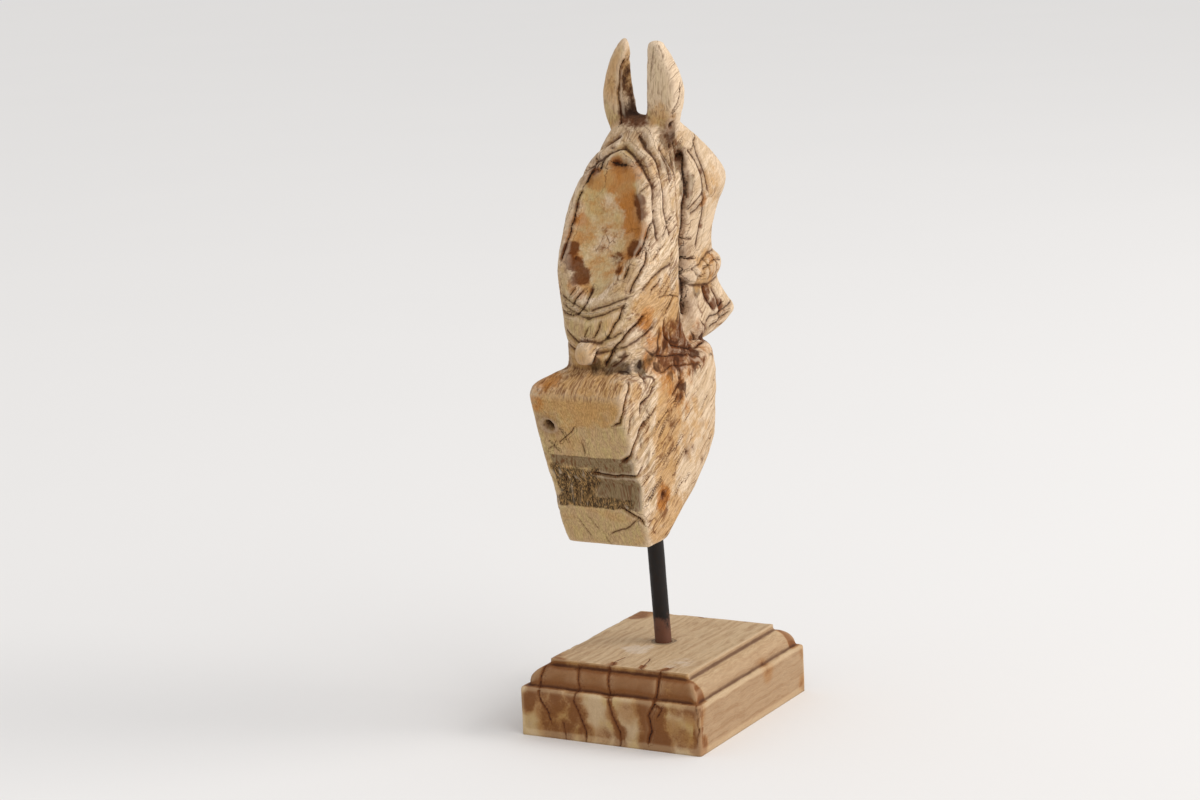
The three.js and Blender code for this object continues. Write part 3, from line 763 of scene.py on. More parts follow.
def make_carving(settings):
    """The carving: the CAD surface in even faces, its facets smoothed but its block's edges kept.

    The bust's front is then shifted by height, and the surface moved along its normals by carve.
    """
    mesh = even_copy("horse_head", settings.face_size, FILLINGS)
    ends = edge_ends(mesh)
    points, normals = mesh_arrays(mesh)
    flat = np.abs(np.einsum("ij,ij->i", normals, smoothed(normals, ends, 6)))
    edge = smooth_step(-flat, -0.97, -0.8) * (points[:, 2] < HEAD_LOW[2] + BLOCK_HEIGHT)
    points = smoothed(points, ends, 4)
    points = smoothed(points, ends, 16, keep=0.9 * edge)
    set_points(mesh, points)
    points, normals = mesh_arrays(mesh)
    normals = smoothed(normals, ends, 6)
    normals /= np.linalg.norm(normals, axis=1)[:, None]
    marks, move = carve(points, normals, settings)
    forward = np.interp(points[:, 2], FRONT_HEIGHTS, FRONT_SHIFTS, left=0, right=0)
    points[:, 1] -= forward * smooth_step(-points[:, 1], -38, 0)
    moved = points + normals * move[:, None]
    moved[:, 2] = np.clip(moved[:, 2], HEAD_LOW[2], None)
    set_points(mesh, moved)
    points, normals = mesh_arrays(mesh)
    marks.layers["wear_highlight_and_crease_shade"] = edges_and_creases(points, normals, ends)
    marks.store(mesh)
    mesh.name = "carved_head"
    piece = bpy.data.objects.new("carved_head", mesh)
    bpy.context.scene.collection.objects.link(piece)
    return piece


# The base's cracks on its back end and top: points, half-width, share of the full depth and darkness.
# Those that start below the top are repeated on the front end.

BASE_CRACKS = [
    ([(48, 60, 40), (48, 68, 32), (46, 71, 22), (42, 71, 17), (40, 71, 11)], 0.56, 0.9, 1),
    ([(26, 58, 41), (21, 68, 32), (24, 71, 25), (20, 71, 17), (16, 71, 7), (16, 71, 2)], 0.56, 0.8, 0.9),
    ([(6, 58, 43), (1, 68, 32), (-2, 71, 19), (-7, 71, 9), (-7, 71, 1)], 0.56, 0.8, 0.9),
    (
        [(-28, 58, 43), (-30, 67, 35), (-30, 71, 27), (-26, 71, 22), (-28, 71, 12), (-26, 71, 5)],
        0.72, 1.2, 1,
    ),
    ([(-30, 71, 29), (-35, 71, 26), (-32, 71, 22)], 0.48, 0.7, 0.9),
    ([(-57, 69, 32), (-59, 71, 21), (-58, 71, 8)], 0.4, 0.5, 0.5),
    ([(31, 71, 10), (30, 71, 2)], 0.4, 0.5, 0.7),
    ([(6, 39, 45), (7, 48, 45), (5, 57, 45)], 0.4, 0.6, 0.8),
    ([(-10, 37, 45), (-15, 57, 45)], 0.4, 0.6, 0.8),
    ([(-31, 47, 45), (-28, 57, 45)], 0.4, 0.6, 0.7),
    ([(28, 57, 38), (28, 62, 36)], 0.4, 0.5, 0.6),
]

# Stains of the base by layer: centre, radius and strength

BASE_STAINS = {
    "stain": [
        (42, 71, 16, 8, 0.8), (48, 68, 28, 8, 0.9), (22, 71, 17, 8, 0.6), (24, 69, 28, 7, 0.8),
        (-29, 71, 17, 9, 1), (-31, 71, 5, 11, 1), (-24, 71, 26, 9, 0.7), (44, 64, 38, 12, 1),
        (28, 64, 38, 9, 0.9), (8, 64, 39, 5, 0.7), (0, 68, 33, 4, 0.7), (-29, 64, 38, 5, 0.8),
        (-48, 71, 10, 8, 0.4), (-45, 71, 28, 7, 0.4), (5, 71, 5, 7, 0.35), (55, 50, 36, 14, 0.7),
        (30, 71, 6, 8, 0.6), (-57, -20, 26, 8, 0.4), (40, 71, 6, 9, 0.7), (56, 70, 20, 7, 0.7),
        (35, 70, 22, 8, 0.7), (-12, 70, 22, 8, 0.35), (-55, 70, 26, 8, 0.5), (-57, 68, 6, 7, 0.6),
        (16, 71, 6, 7, 0.6), (-42, 71, 14, 9, 0.35),
    ],
    "pale": [
        (8, 22, 45, 9, 0.9), (3, 14, 45, 5, 0.7), (-30, 40, 45, 12, 0.4),
    ],
}


def base_profile():
    """Insets and heights up the base's outside, from the CAD mesh: slab, ledge, quarter-round and fillet.

    An inset is how far a point lies inside the widest level; the rod's hole is left out.
    """
    points, _ = mesh_arrays(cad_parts["base"].data)
    levels = np.unique(np.round(points[:, 2], 2))
    rows = []
    for level in levels:
        here = points[np.abs(points[:, 2] - level) < 0.02]
        insets = BASE_HIGH[0] - np.abs(here[:, 0])
        outer = insets[insets < BASE_HIGH[0] / 2]
        rows += [(inset, level) for inset in np.unique(np.round(outer, 2))]
    return np.array(rows)


def walk(rows, step):
    """Points at an even step along a polyline of rows."""
    rows = np.asarray(rows, float)
    lengths = np.concatenate([[0], np.cumsum(np.linalg.norm(np.diff(rows, axis=0), axis=1))])
    places = np.linspace(0, lengths[-1], max(2, int(round(lengths[-1] / step)) + 1))
    return np.stack([np.interp(places, lengths, rows[:, k]) for k in range(rows.shape[1])], axis=1)


def rectangle_ring(half_x, half_y, radius, count_x, count_y):
    """Points round a rectangle with rounded corners, counter-clockwise, as many at any size."""
    across = np.linspace(-1, 1, count_x, endpoint=False)
    up = np.linspace(-1, 1, count_y, endpoint=False)
    ones_x, ones_y = np.ones(count_x), np.ones(count_y)
    unit = np.concatenate([
        np.stack([across, -ones_x], 1), np.stack([ones_y, up], 1),
        np.stack([-across, ones_x], 1), np.stack([-ones_y, -up], 1),
    ])
    ring = unit * np.array([half_x, half_y])
    limit = np.maximum(np.array([half_x, half_y]) - radius, 0)
    inner = np.clip(ring, -limit, limit)
    offset = ring - inner
    length = np.linalg.norm(offset, axis=1)[:, None]
    return inner + offset / np.maximum(length, 1e-9) * np.minimum(length, radius)


def closed_rings(rings):
    """Points and faces over rings of equally many points, with a middle point closing each end."""
    count = len(rings[0])
    rows = len(rings)
    points = np.concatenate([np.concatenate(rings), [rings[0].mean(0)], [rings[-1].mean(0)]])
    i, j = np.meshgrid(np.arange(rows - 1), np.arange(count), indexing="ij")
    a, b = i * count + j, i * count + (j + 1) % count
    quads = np.stack([a, b, b + count, a + count], -1).reshape(-1, 4)
    around = np.arange(count)
    following = (around + 1) % count
    last = (rows - 1) * count
    first_cap = np.stack([following, around, np.full(count, rows * count)], 1)
    last_cap = np.stack([last + around, last + following, np.full(count, rows * count + 1)], 1)
    return points, quads.tolist() + first_cap.tolist() + last_cap.tolist()


def rod_axis(height):
    """Where the rod's axis is at a height: on the line between the middles of its ends in the frame."""
    radius = rod_radius()
    foot = ROD_LOW[:2] + radius
    top = ROD_HIGH[:2] - radius
    share = (np.asarray(height, float)[..., None] - ROD_LOW[2]) / (ROD_HIGH[2] - ROD_LOW[2])
    return foot + share * (top - foot)


def rod_radius():
    """The rod's radius: half the width of its foot's lowest points."""
    points, _ = mesh_arrays(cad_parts["rod"].data)
    low = points[points[:, 2] < ROD_LOW[2] + 0.5]
    return (low[:, 0].max() - low[:, 0].min()) / 2


def far_end(line):
    """The same line on the base's other end, drawn in and shifted a little so that the ends differ."""
    return [(0.9 * x - 4, -y, z) for x, y, z in line]


# Size of the base's faces, and the gap round the rod in its hole

BASE_STEP = 1.25
HOLE_GAP = 0.35


def base_rings(arris, middle):
    """Rings of points under the base, up its outside, in over its top to the rod's hole and down into it."""
    half_x, half_y, top = BASE_HIGH
    count_x, count_y = int(2 * half_x / BASE_STEP), int(2 * half_y / BASE_STEP)
    profile = walk(base_profile(), BASE_STEP)
    for _ in range(2):
        profile[1:-1] = (profile[:-2] + 2 * profile[1:-1] + profile[2:]) / 4
    rings = []
    for share in (0.25, 0.6, 0.9):
        flat = rectangle_ring(half_x * share, half_y * share, arris, count_x, count_y)
        rings.append(np.column_stack([flat, np.zeros(len(flat))]))
    for inset, height in profile:
        flat = rectangle_ring(half_x - inset, half_y - inset, arris, count_x, count_y)
        rings.append(np.column_stack([flat, np.full(len(flat), height)]))
    edge = rings[-1][:, :2]
    radius = rod_radius() + HOLE_GAP
    bearing = np.arctan2(edge[:, 1] - middle[1], edge[:, 0] - middle[0])
    hole = middle + radius * np.stack([np.cos(bearing), np.sin(bearing)], 1)
    rows = int(half_y / BASE_STEP / 1.15)
    for i in range(1, rows + 1):
        rings.append(np.column_stack([edge + (hole - edge) * i / rows, np.full(len(edge), top)]))
    for depth in (1, 3, 6):
        rings.append(np.column_stack([hole, np.full(len(edge), top - depth)]))
    return rings


def mark_base(marks, crack_depth, middle):
    """The base's cracks and stains, a dark ring round the rod, where its ends are, and its long sides, which
    the material darkens as painted shade.
    """
    x, y, z = marks.points.T
    for i, (line, half_width, share, ink) in enumerate(BASE_CRACKS):
        depth = crack_depth * share
        marks.cut(line, half_width, depth, ink, waver=0.9, seed=201 + i)
        if line[0][2] < BASE_HIGH[2]:
            for point in line:
                marks.stain("stain", point, 5, 0.5)
            marks.cut(far_end(line), half_width, depth, ink, waver=0.9, seed=221 + i)
    marks.lay("stain", 0.85 * smooth_step(np.abs(y), 56, 59) * smooth_step(z, 29, 31))
    for layer, patches in BASE_STAINS.items():
        for *centre, radius, strength in patches:
            marks.stain(layer, centre, radius, strength)
            if abs(centre[1]) > 45:
                marks.stain(layer, far_end([centre])[0], radius, strength)
    beside_crack = smooth_step(-np.abs(marks.line * marks.ink.clip(0.3)), -7, -1) * (marks.ink > 0)
    marks.lay("stain", 0.75 * beside_crack * (np.abs(y) > 50))
    from_rod = np.hypot(x - middle[0], y - middle[1])
    marks.lay("grime_and_shade", smooth_step(-from_rod, -9.5, -5.5) * (z > BASE_HIGH[2] - 8))
    marks.lay("end_grain", smooth_step(np.abs(marks.normals[:, 1]), 0.4, 0.75))
    # Painted shade: the long sides are marked here to be darkened, for the light falling from above
    marks.lay("side", smooth_step(np.abs(marks.normals[:, 0]), 0.3, 0.8))


def make_base(settings):
    """The base: its profile carried round a rectangle, its top drawn in to the rod's hole in straight rows.

    It then moves out by long-grain noise and lumps, less its cracks and the bruises on its corners.
    """
    middle = rod_axis(BASE_HIGH[2])
    points, faces = closed_rings(base_rings(settings.arris, middle))
    piece = shown_object("moulded_base", points, faces)
    mesh = piece.data
    ends = edge_ends(mesh)
    points, normals = mesh_arrays(mesh)
    marks = Marks(points, normals)
    mark_base(marks, settings.crack_depth, middle)
    long_grain = 0.5 * layered_noise(points, (3.5, 40, 3), 231, 3)
    lumps = layered_noise(points, (12, 12, 12), 235, 3)
    bruise = np.maximum(layered_noise(points, (14, 14, 8), 241, 2) - 0.35, 0)
    corner = np.clip(1 - np.abs(smoothed(normals, ends, 5)).max(1), 0, 1)
    on_outside = np.abs(points[:, :2] - middle).max(1) > 7
    move = -marks.sink
    move += settings.relief * (1 - marks.layers["end_grain"]) * long_grain
    move += settings.relief * 1.2 * lumps
    move -= 4.5 * bruise * smooth_step(corner, 0.12, 0.35)
    move *= on_outside * smooth_step(points[:, 2], 0.2, 1.5)
    set_points(mesh, points + normals * move[:, None])
    points, normals = mesh_arrays(mesh)
    marks.layers["wear_highlight_and_crease_shade"] = edges_and_creases(points, normals, ends)
    marks.store(mesh)
    return piece


def make_rod(settings):
    """The rod: a circle carried up the axis, its radius wavering by noise, both ends closed."""
    around, step = 48, 1.6
    heights = np.arange(ROD_LOW[2] + 0.2, ROD_HIGH[2] - 0.2, step)
    turn = np.linspace(0, 2 * np.pi, around, endpoint=False)
    radius = rod_radius() + settings.swell
    rings = []
    for height, centre in zip(heights, rod_axis(heights)):
        circle = np.stack([np.cos(turn), np.sin(turn)], 1)
        rings.append(np.column_stack([centre + radius * circle, np.full(around, height)]))
    points, faces = closed_rings(rings)
    piece = shown_object("iron_rod", points, faces)
    points, normals = mesh_arrays(piece.data)
    move = settings.unevenness * layered_noise(points, (6, 6, 14), 301, 3) - settings.unevenness
    set_points(piece.data, points + normals * move[:, None])
    rust = smooth_step(-points[:, 2], -BASE_HIGH[2] - 26, -BASE_HIGH[2] - 2)
    store(piece.data, "rust", rust)
    return piece


# Materials


def add_node(tree, kind, inputs=None, **settings):
    """A node with its settings; inputs are values or the sockets that feed them."""
    node = tree.nodes.new(kind)
    for name, value in settings.items():
        setattr(node, name, value)
    for key, value in (inputs or {}).items():
        if isinstance(value, bpy.types.NodeSocket):
            tree.links.new(value, node.inputs[key])
        else:
            node.inputs[key].default_value = value
    return node


def math_node(tree, operation, *values):
    """The result of one sum on values or sockets."""
    return add_node(tree, "ShaderNodeMath", dict(enumerate(values)), operation=operation).outputs[0]


def times(tree, first, second):
    """Two values or sockets multiplied."""
    return math_node(tree, "MULTIPLY", first, second)


def plus(tree, first, second):
    """Two values or sockets added."""
    return math_node(tree, "ADD", first, second)


def mix_colour(tree, factor, first, second, blend="MIX"):
    """Two colours mixed by a factor."""
    inputs = {0: factor, 6: first, 7: second}
    node = add_node(tree, "ShaderNodeMix", inputs, data_type="RGBA", blend_type=blend)
    node.clamp_factor = True
    return node.outputs[2]


def over(tree, base, mask, strength, colour):
    """A colour laid over a base where a mask is strong."""
    return mix_colour(tree, times(tree, mask, strength), base, colour)


def ramp(tree, value, low, high, to_low=0.0, to_high=1.0):
    """A value brought from one range to another with smooth ends."""
    inputs = {0: value, 1: low, 2: high, 3: to_low, 4: to_high}
    return add_node(tree, "ShaderNodeMapRange", inputs, interpolation_type="SMOOTHSTEP").outputs[0]


def noise(tree, place, scale, detail=2.0, roughness=0.5, output="Fac"):
    """A noise texture's value or colour."""
    inputs = {"Vector": place, "Scale": scale, "Detail": detail, "Roughness": roughness}
    return add_node(tree, "ShaderNodeTexNoise", inputs).outputs[output]


def vector_node(tree, operation, inputs):
    """The result of one sum on vectors."""
    return add_node(tree, "ShaderNodeVectorMath", inputs, operation=operation).outputs[0]


def roughen(tree, shader, height, strength, distance):
    """Feeds a height into the shader's normal through a Bump node."""
    bump = add_node(tree, "ShaderNodeBump", {"Height": height, "Strength": strength, "Distance": distance})
    tree.links.new(bump.outputs[0], shader.inputs["Normal"])


def attribute(tree, name):
    """One of the piece's own stored numbers."""
    node = add_node(tree, "ShaderNodeAttribute", attribute_name=name)
    return node.outputs["Fac"]


def effect_group(name, inputs, outputs):
    """An empty shader node group; inputs give a socket kind and a default, outputs a kind."""
    group = bpy.data.node_groups.new(name, "ShaderNodeTree")
    for title, (kind, default) in inputs.items():
        socket = group.interface.new_socket(title, in_out="INPUT", socket_type="NodeSocket" + kind)
        if default is not None:
            socket.default_value = default
    for title, kind in outputs.items():
        group.interface.new_socket(title, in_out="OUTPUT", socket_type="NodeSocket" + kind)
    return group, group.nodes.new("NodeGroupInput").outputs, group.nodes.new("NodeGroupOutput").inputs


def use_group(tree, group, inputs):
    """The outputs of a node that places an effect group with its own values."""
    return add_node(tree, "ShaderNodeGroup", inputs, node_tree=group).outputs


def grain_group():
    """Wood grain from noise on stretched coordinates: broad Streaks, fine Fibres, thin Checks and Hatch.

    Patches is slow, unstretched noise that other effects can follow.
    """
    vector, scales = ("Vector", None), {"Along": 18.0, "Across": 320.0, "Through": 320.0}
    group, given, out = effect_group(
        "Wood grain",
        {"Vector": vector, **{key: ("Float", value) for key, value in scales.items()}},
        dict.fromkeys(("Streaks", "Fibres", "Checks", "Hatch", "Patches"), "Float"),
    )
    factors = {i: given[key] for i, key in enumerate(scales)}
    scale = add_node(group, "ShaderNodeCombineXYZ", factors).outputs[0]
    stretched = vector_node(group, "MULTIPLY", {0: given["Vector"], 1: scale})
    drift = noise(group, given["Vector"], 45.0, output="Color")
    shift = vector_node(group, "SCALE", {0: drift, "Scale": 2.4})
    bent = vector_node(group, "ADD", {0: stretched, 1: shift})
    inputs = {"Vector": bent, "Scale": 0.62, "Randomness": 1.0}
    cells = add_node(group, "ShaderNodeTexVoronoi", inputs, feature="DISTANCE_TO_EDGE")
    thin = ramp(group, cells.outputs["Distance"], 0.0, 0.045, 1.0, 0.0)
    patches = noise(group, given["Vector"], 60.0, 3.0)
    results = {
        "Streaks": noise(group, bent, 0.9, 5.0, 0.62),
        "Fibres": noise(group, bent, 4.2, 4.0, 0.7),
        "Checks": times(group, thin, ramp(group, patches, 0.5, 0.62)),
        "Hatch": ramp(group, noise(group, bent, 2.3, 1.0, 0.4), 0.55, 0.63),
        "Patches": patches,
    }
    for name, result in results.items():
        group.links.new(result, out[name])
    return group


def split_group():
    """Cracks: the stored line, made ragged by noise, as a dark core and a soft stain beside it."""
    group, given, out = effect_group(
        "Crack marks",
        {
            "Vector": ("Vector", None), "Line": ("Float", 9.0), "Ink": ("Float", 0.0),
            "Raggedness": ("Float", 0.7),
        },
        {"Core": "Float", "Halo": "Float"},
    )
    centred = math_node(group, "SUBTRACT", noise(group, given["Vector"], 620.0, 3.0), 0.5)
    rough = times(group, times(group, centred, given["Raggedness"]), 2.6)
    ragged = plus(group, math_node(group, "ABSOLUTE", given["Line"]), rough)
    for name, low, high in (("Core", 0.0, 0.55), ("Halo", 0.4, 2.6)):
        mask = times(group, ramp(group, ragged, low, high, 1.0, 0.0), given["Ink"])
        group.links.new(mask, out[name])
    return group


def patch_group():
    """Stains: a stored amount broken up by two sizes of noise."""
    group, given, out = effect_group(
        "Stain patches",
        {
            "Vector": ("Vector", None), "Amount": ("Float", 0.0), "Coarse": ("Float", 130.0),
            "Fine": ("Float", 700.0),
        },
        {"Mask": "Float"},
    )
    coarse = noise(group, given["Vector"], given["Coarse"], 4.0)
    fine = noise(group, given["Vector"], given["Fine"])
    both = plus(group, coarse, times(group, fine, 0.35))
    uneven = times(group, math_node(group, "SUBTRACT", both, 0.68), 1.5)
    inside = ramp(group, given["Amount"], 0.0, 0.3)
    total = plus(group, given["Amount"], times(group, uneven, inside))
    group.links.new(ramp(group, total, 0.17, 0.72), out["Mask"])
    return group


def patch(tree, groups, place, amount, **scales):
    """A stain's mask from a stored layer's name or a socket; scales name the group's noise sizes."""
    if isinstance(amount, str):
        amount = attribute(tree, amount)
    return use_group(tree, groups["patch"], {"Vector": place, "Amount": amount, **scales})["Mask"]


def grain(tree, groups, place, along, across, through):
    """Wood grain on one piece, by how many times its coordinates are stretched each way."""
    inputs = {"Vector": place, "Along": along, "Across": across, "Through": through}
    return use_group(tree, groups["grain"], inputs)


def crack(tree, groups, place, raggedness):
    """The crack marks of one piece, from its stored line and ink."""
    stored = {"Line": attribute(tree, "line"), "Ink": attribute(tree, "ink")}
    return use_group(tree, groups["split"], {"Vector": place, **stored, "Raggedness": raggedness})


def grain_order(tree, place):
    """Coordinates with the way the grain runs first: Y, Z, X."""
    order = add_node(tree, "ShaderNodeSeparateXYZ", {0: place}).outputs
    return add_node(tree, "ShaderNodeCombineXYZ", {0: order[1], 1: order[2], 2: order[0]}).outputs[0]


def colours(settings, names):
    """Colours of a settings group by name, with full alpha."""
    return {name: (*getattr(settings, name), 1) for name in names.split()}


def new_material(name):
    """An empty material; returns it, its tree, its Principled BSDF and the piece's Object coordinates."""
    material = bpy.data.materials.new(name)
    material.use_nodes = True
    tree = material.node_tree
    shader = tree.nodes["Principled BSDF"]
    place = tree.nodes.new("ShaderNodeTexCoord").outputs["Object"]
    return material, tree, shader, place


def bare_wood(tree, colour, long, end, end_grain, calm):
    """Wood before its stains: streaked long grain, quieter where calm, and plainer end grain."""
    side = mix_colour(tree, ramp(tree, long["Streaks"], 0.36, 0.64), colour["tan"], colour["pale"])
    side = over(tree, side, ramp(tree, long["Patches"], 0.5, 0.75), 0.5, colour["honey"])
    plain = mix_colour(tree, 0.6, colour["tan"], colour["pale"])
    side = over(tree, side, calm, 0.65, plain)
    across = mix_colour(tree, ramp(tree, end["Streaks"], 0.35, 0.7), colour["tan"], colour["end_wood"])
    across = mix_colour(tree, ramp(tree, end["Patches"], 0.5, 0.7, 0.0, 0.45), across, colour["honey"])
    return mix_colour(tree, end_grain, side, across)


def carving_material(settings, groups):
    """Weathered wood: bleached grain, smoother end grain, stains, rot, burl figure, cracks, pale edges as
    wear with a painted highlight, and painted shade in creases, hollows, gaps and the left ear's inner face.
    """
    material, tree, shader, place = new_material("driftwood")
    turned = add_node(
        tree, "ShaderNodeMapping", {"Vector": place, "Rotation": (settings.grain_angle, 0, 0)}
    ).outputs[0]
    grain_place = grain_order(tree, turned)
    colour = colours(settings, "pale tan end_wood honey orange brown grey dark")
    long = grain(tree, groups, grain_place, 22.0, 300.0, 260.0)
    end = grain(tree, groups, grain_place, 60.0, 110.0, 420.0)
    layers = ("orange", "brown", "honey", "grime_and_shade", "grey", "pale", "rot")
    amount = {layer: patch(tree, groups, place, layer) for layer in layers}
    cracks = crack(tree, groups, grain_place, 0.7)
    stored = ("end_grain", "hollow", "wear_highlight_and_crease_shade", "calm", "figure", "hatch")
    end_grain, hollow, wear_highlight_and_crease_shade, calm, figure, hatch = (attribute(tree, name) for name in stored)

    base = bare_wood(tree, colour, long, end, end_grain, calm)
    floor = mix_colour(tree, ramp(tree, end["Patches"], 0.35, 0.7), colour["end_wood"], colour["pale"])
    base = over(tree, base, hollow, 0.7, floor)
    mottled = patch(tree, groups, place, times(tree, hollow, 0.4), Coarse=240.0, Fine=950.0)
    base = over(tree, base, mottled, 0.6, colour["honey"])
    for layer, strength in (("pale", 0.6), ("grey", 0.75), ("honey", 0.7)):
        base = over(tree, base, amount[layer], strength, colour[layer])
    cloudy = ramp(tree, end["Patches"], 0.38, 0.6, 0.6, 0.95)
    base = over(tree, base, amount["orange"], cloudy, colour["orange"])
    base = over(tree, base, amount["brown"], 0.9, colour["brown"])

    lines = mix_colour(tree, end_grain, long["Fibres"], end["Fibres"])
    fine = mix_colour(tree, ramp(tree, lines, 0.32, 0.68), (0.6, 0.55, 0.5, 1), (1.2, 1.2, 1.2, 1))
    base = mix_colour(tree, ramp(tree, calm, 0.0, 1.0, 0.85, 0.5), base, fine, "MULTIPLY")
    curls = ramp(tree, plus(tree, figure, times(tree, long["Fibres"], 0.6)), 0.5, 1.0)
    base = over(tree, base, curls, 0.85, mix_colour(tree, 0.6, colour["brown"], colour["dark"]))
    long_face = math_node(tree, "SUBTRACT", 1.0, end_grain)
    checks = times(tree, long["Checks"], long_face)
    base = over(tree, base, checks, 0.7, colour["brown"])
    where = times(tree, ramp(tree, long["Patches"], 0.42, 0.56), long_face)
    where = times(tree, where, ramp(tree, calm, 0.2, 1.0, 1.0, 0.3))
    combed = times(tree, end["Hatch"], math_node(tree, "MAXIMUM", hatch, amount["grey"]))
    strokes = math_node(tree, "MAXIMUM", times(tree, long["Hatch"], where), combed)
    base = over(tree, base, strokes, 0.6, colour["brown"])

    # Painted shade in creases, gaps, between the ears and on the left ear's inner face, in the crack dark
    # colour
    base = over(tree, base, amount["grime_and_shade"], 0.72, colour["dark"])
    rotten = mix_colour(tree, ramp(tree, end["Fibres"], 0.46, 0.66), colour["dark"], colour["honey"])
    base = over(tree, base, amount["rot"], 0.85, rotten)
    # Painted shade in creases and hollows, then paler edges as wear with a painted highlight
    base = mix_colour(tree, ramp(tree, wear_highlight_and_crease_shade, -0.1, -0.9, 0.0, 0.7), base, colour["brown"], "MULTIPLY")
    base = mix_colour(tree, ramp(tree, wear_highlight_and_crease_shade, 0.15, 0.9, 0.0, 0.4), base, colour["pale"])
    base = over(tree, base, cracks["Halo"], 0.5, colour["brown"])
    base = mix_colour(tree, cracks["Core"], base, colour["dark"])
    tree.links.new(base, shader.inputs["Base Color"])
    tree.links.new(ramp(tree, long["Fibres"], 0.3, 0.7, 0.92, 0.74), shader.inputs["Roughness"])
    shader.inputs["Specular IOR Level"].default_value = 0.1

    height = plus(tree, times(tree, long_face, long["Fibres"]), times(tree, long["Streaks"], 0.8))
    height = plus(tree, height, times(tree, end["Fibres"], 0.5))
    height = math_node(tree, "SUBTRACT", height, times(tree, checks, 1.2))
    height = math_node(tree, "SUBTRACT", height, times(tree, cracks["Core"], 1.5))
    roughen(tree, shader, height, 0.55, 0.0007)
    return material


def base_material(settings, groups):
    """Old planed wood: long grain on top and sides, pale cracked ends, red-brown stains, a dark ring round
    the rod, painted shade on the long sides and in the corners, and edges paled as wear with a painted
    highlight.
    """
    material, tree, shader, place = new_material("base_wood")
    grain_place = grain_order(tree, place)
    colour = colours(settings, "top streak end_wood stain halo dark")
    long = grain(tree, groups, grain_place, 12.0, 420.0, 380.0)
    end = grain(tree, groups, grain_place, 60.0, 70.0, 260.0)
    cracks = crack(tree, groups, place, 0.6)
    wear_highlight_and_crease_shade = attribute(tree, "wear_highlight_and_crease_shade")

    sides = mix_colour(tree, ramp(tree, long["Streaks"], 0.3, 0.6), colour["streak"], colour["top"])
    # Painted shade on the long sides, in a darker mix of streak and stain
    shade = mix_colour(tree, 0.5, colour["streak"], colour["stain"])
    sides = over(tree, sides, attribute(tree, "side"), 0.5, shade)
    ends = mix_colour(tree, ramp(tree, end["Patches"], 0.35, 0.7), colour["top"], colour["end_wood"])
    ends = mix_colour(tree, ramp(tree, end["Streaks"], 0.6, 0.3, 0.0, 0.5), ends, colour["streak"])
    base = mix_colour(tree, attribute(tree, "end_grain"), sides, ends)
    base = over(tree, base, patch(tree, groups, place, "pale"), 0.5, (0.66, 0.56, 0.46, 1))
    rims = ramp(tree, attribute(tree, "stain"), 0.02, 0.5, 0.0, 0.75)
    base = mix_colour(tree, rims, base, colour["halo"])
    base = over(tree, base, patch(tree, groups, place, "stain", Coarse=90.0), 0.75, colour["stain"])
    darker, lighter = (0.76, 0.72, 0.68, 1), (1.12, 1.12, 1.12, 1)
    fine = mix_colour(tree, ramp(tree, long["Fibres"], 0.3, 0.7), darker, lighter)
    base = mix_colour(tree, 0.6, base, fine, "MULTIPLY")
    base = over(tree, base, patch(tree, groups, place, "grime_and_shade"), 0.6, colour["dark"])
    # Painted shade in corners and creases, then paler edges as wear with a painted highlight
    base = mix_colour(tree, ramp(tree, wear_highlight_and_crease_shade, -0.1, -0.9, 0.0, 0.75), base, colour["stain"], "MULTIPLY")
    base = mix_colour(tree, ramp(tree, wear_highlight_and_crease_shade, 0.1, 0.9, 0.0, 0.35), base, colour["top"], "SCREEN")
    base = over(tree, base, cracks["Halo"], 0.7, colour["stain"])
    base = mix_colour(tree, cracks["Core"], base, colour["dark"])
    tree.links.new(base, shader.inputs["Base Color"])
    tree.links.new(ramp(tree, long["Streaks"], 0.3, 0.7, 0.8, 0.58), shader.inputs["Roughness"])
    shader.inputs["Specular IOR Level"].default_value = 0.2

    height = plus(tree, long["Fibres"], times(tree, long["Streaks"], 0.6))
    height = math_node(tree, "SUBTRACT", height, times(tree, cracks["Core"], 1.5))
    roughen(tree, shader, height, 0.35, 0.0005)
    return material


def rod_material(settings, groups):
    """Dark waxed iron with rust that thickens towards the foot."""
    material, tree, shader, place = new_material("waxed_iron")
    colour = colours(settings, "iron rust")
    rust = patch(tree, groups, place, "rust", Coarse=160.0, Fine=900.0)
    mottle = noise(tree, place, 240.0, 5.0)
    iron = mix_colour(tree, ramp(tree, mottle, 0.35, 0.7), (0.012, 0.009, 0.008, 1), colour["iron"])
    tree.links.new(over(tree, iron, rust, 0.8, colour["rust"]), shader.inputs["Base Color"])
    tree.links.new(ramp(tree, rust, 0, 1, 0.55, 0.05), shader.inputs["Metallic"])
    tree.links.new(ramp(tree, mottle, 0.3, 0.7, 0.42, 0.62), shader.inputs["Roughness"])
    roughen(tree, shader, mottle, 0.3, 0.0004)
    return material


EFFECTS = {
    "grain": ("Wood grain", grain_group),
    "split": ("Crack marks", split_group),
    "patch": ("Stain patches", patch_group),
}


def effect_groups():
    """The effect groups, each made at its first use."""
    return {key: bpy.data.node_groups.get(name) or make() for key, (name, make) in EFFECTS.items()}


def dress(piece, material, node):
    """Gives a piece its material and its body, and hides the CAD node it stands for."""
    piece.data.materials.clear()
    piece.data.materials.append(material)
    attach(piece, BODY)
    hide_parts(node)


# Stage

EYE = Vector((-0.8310, 1.5476, 0.5411))
LOOK = Vector((0.47997, -0.85573, -0.19325))
UPWARD = Vector((0.05760, -0.18906, 0.98027))
LENS = 90


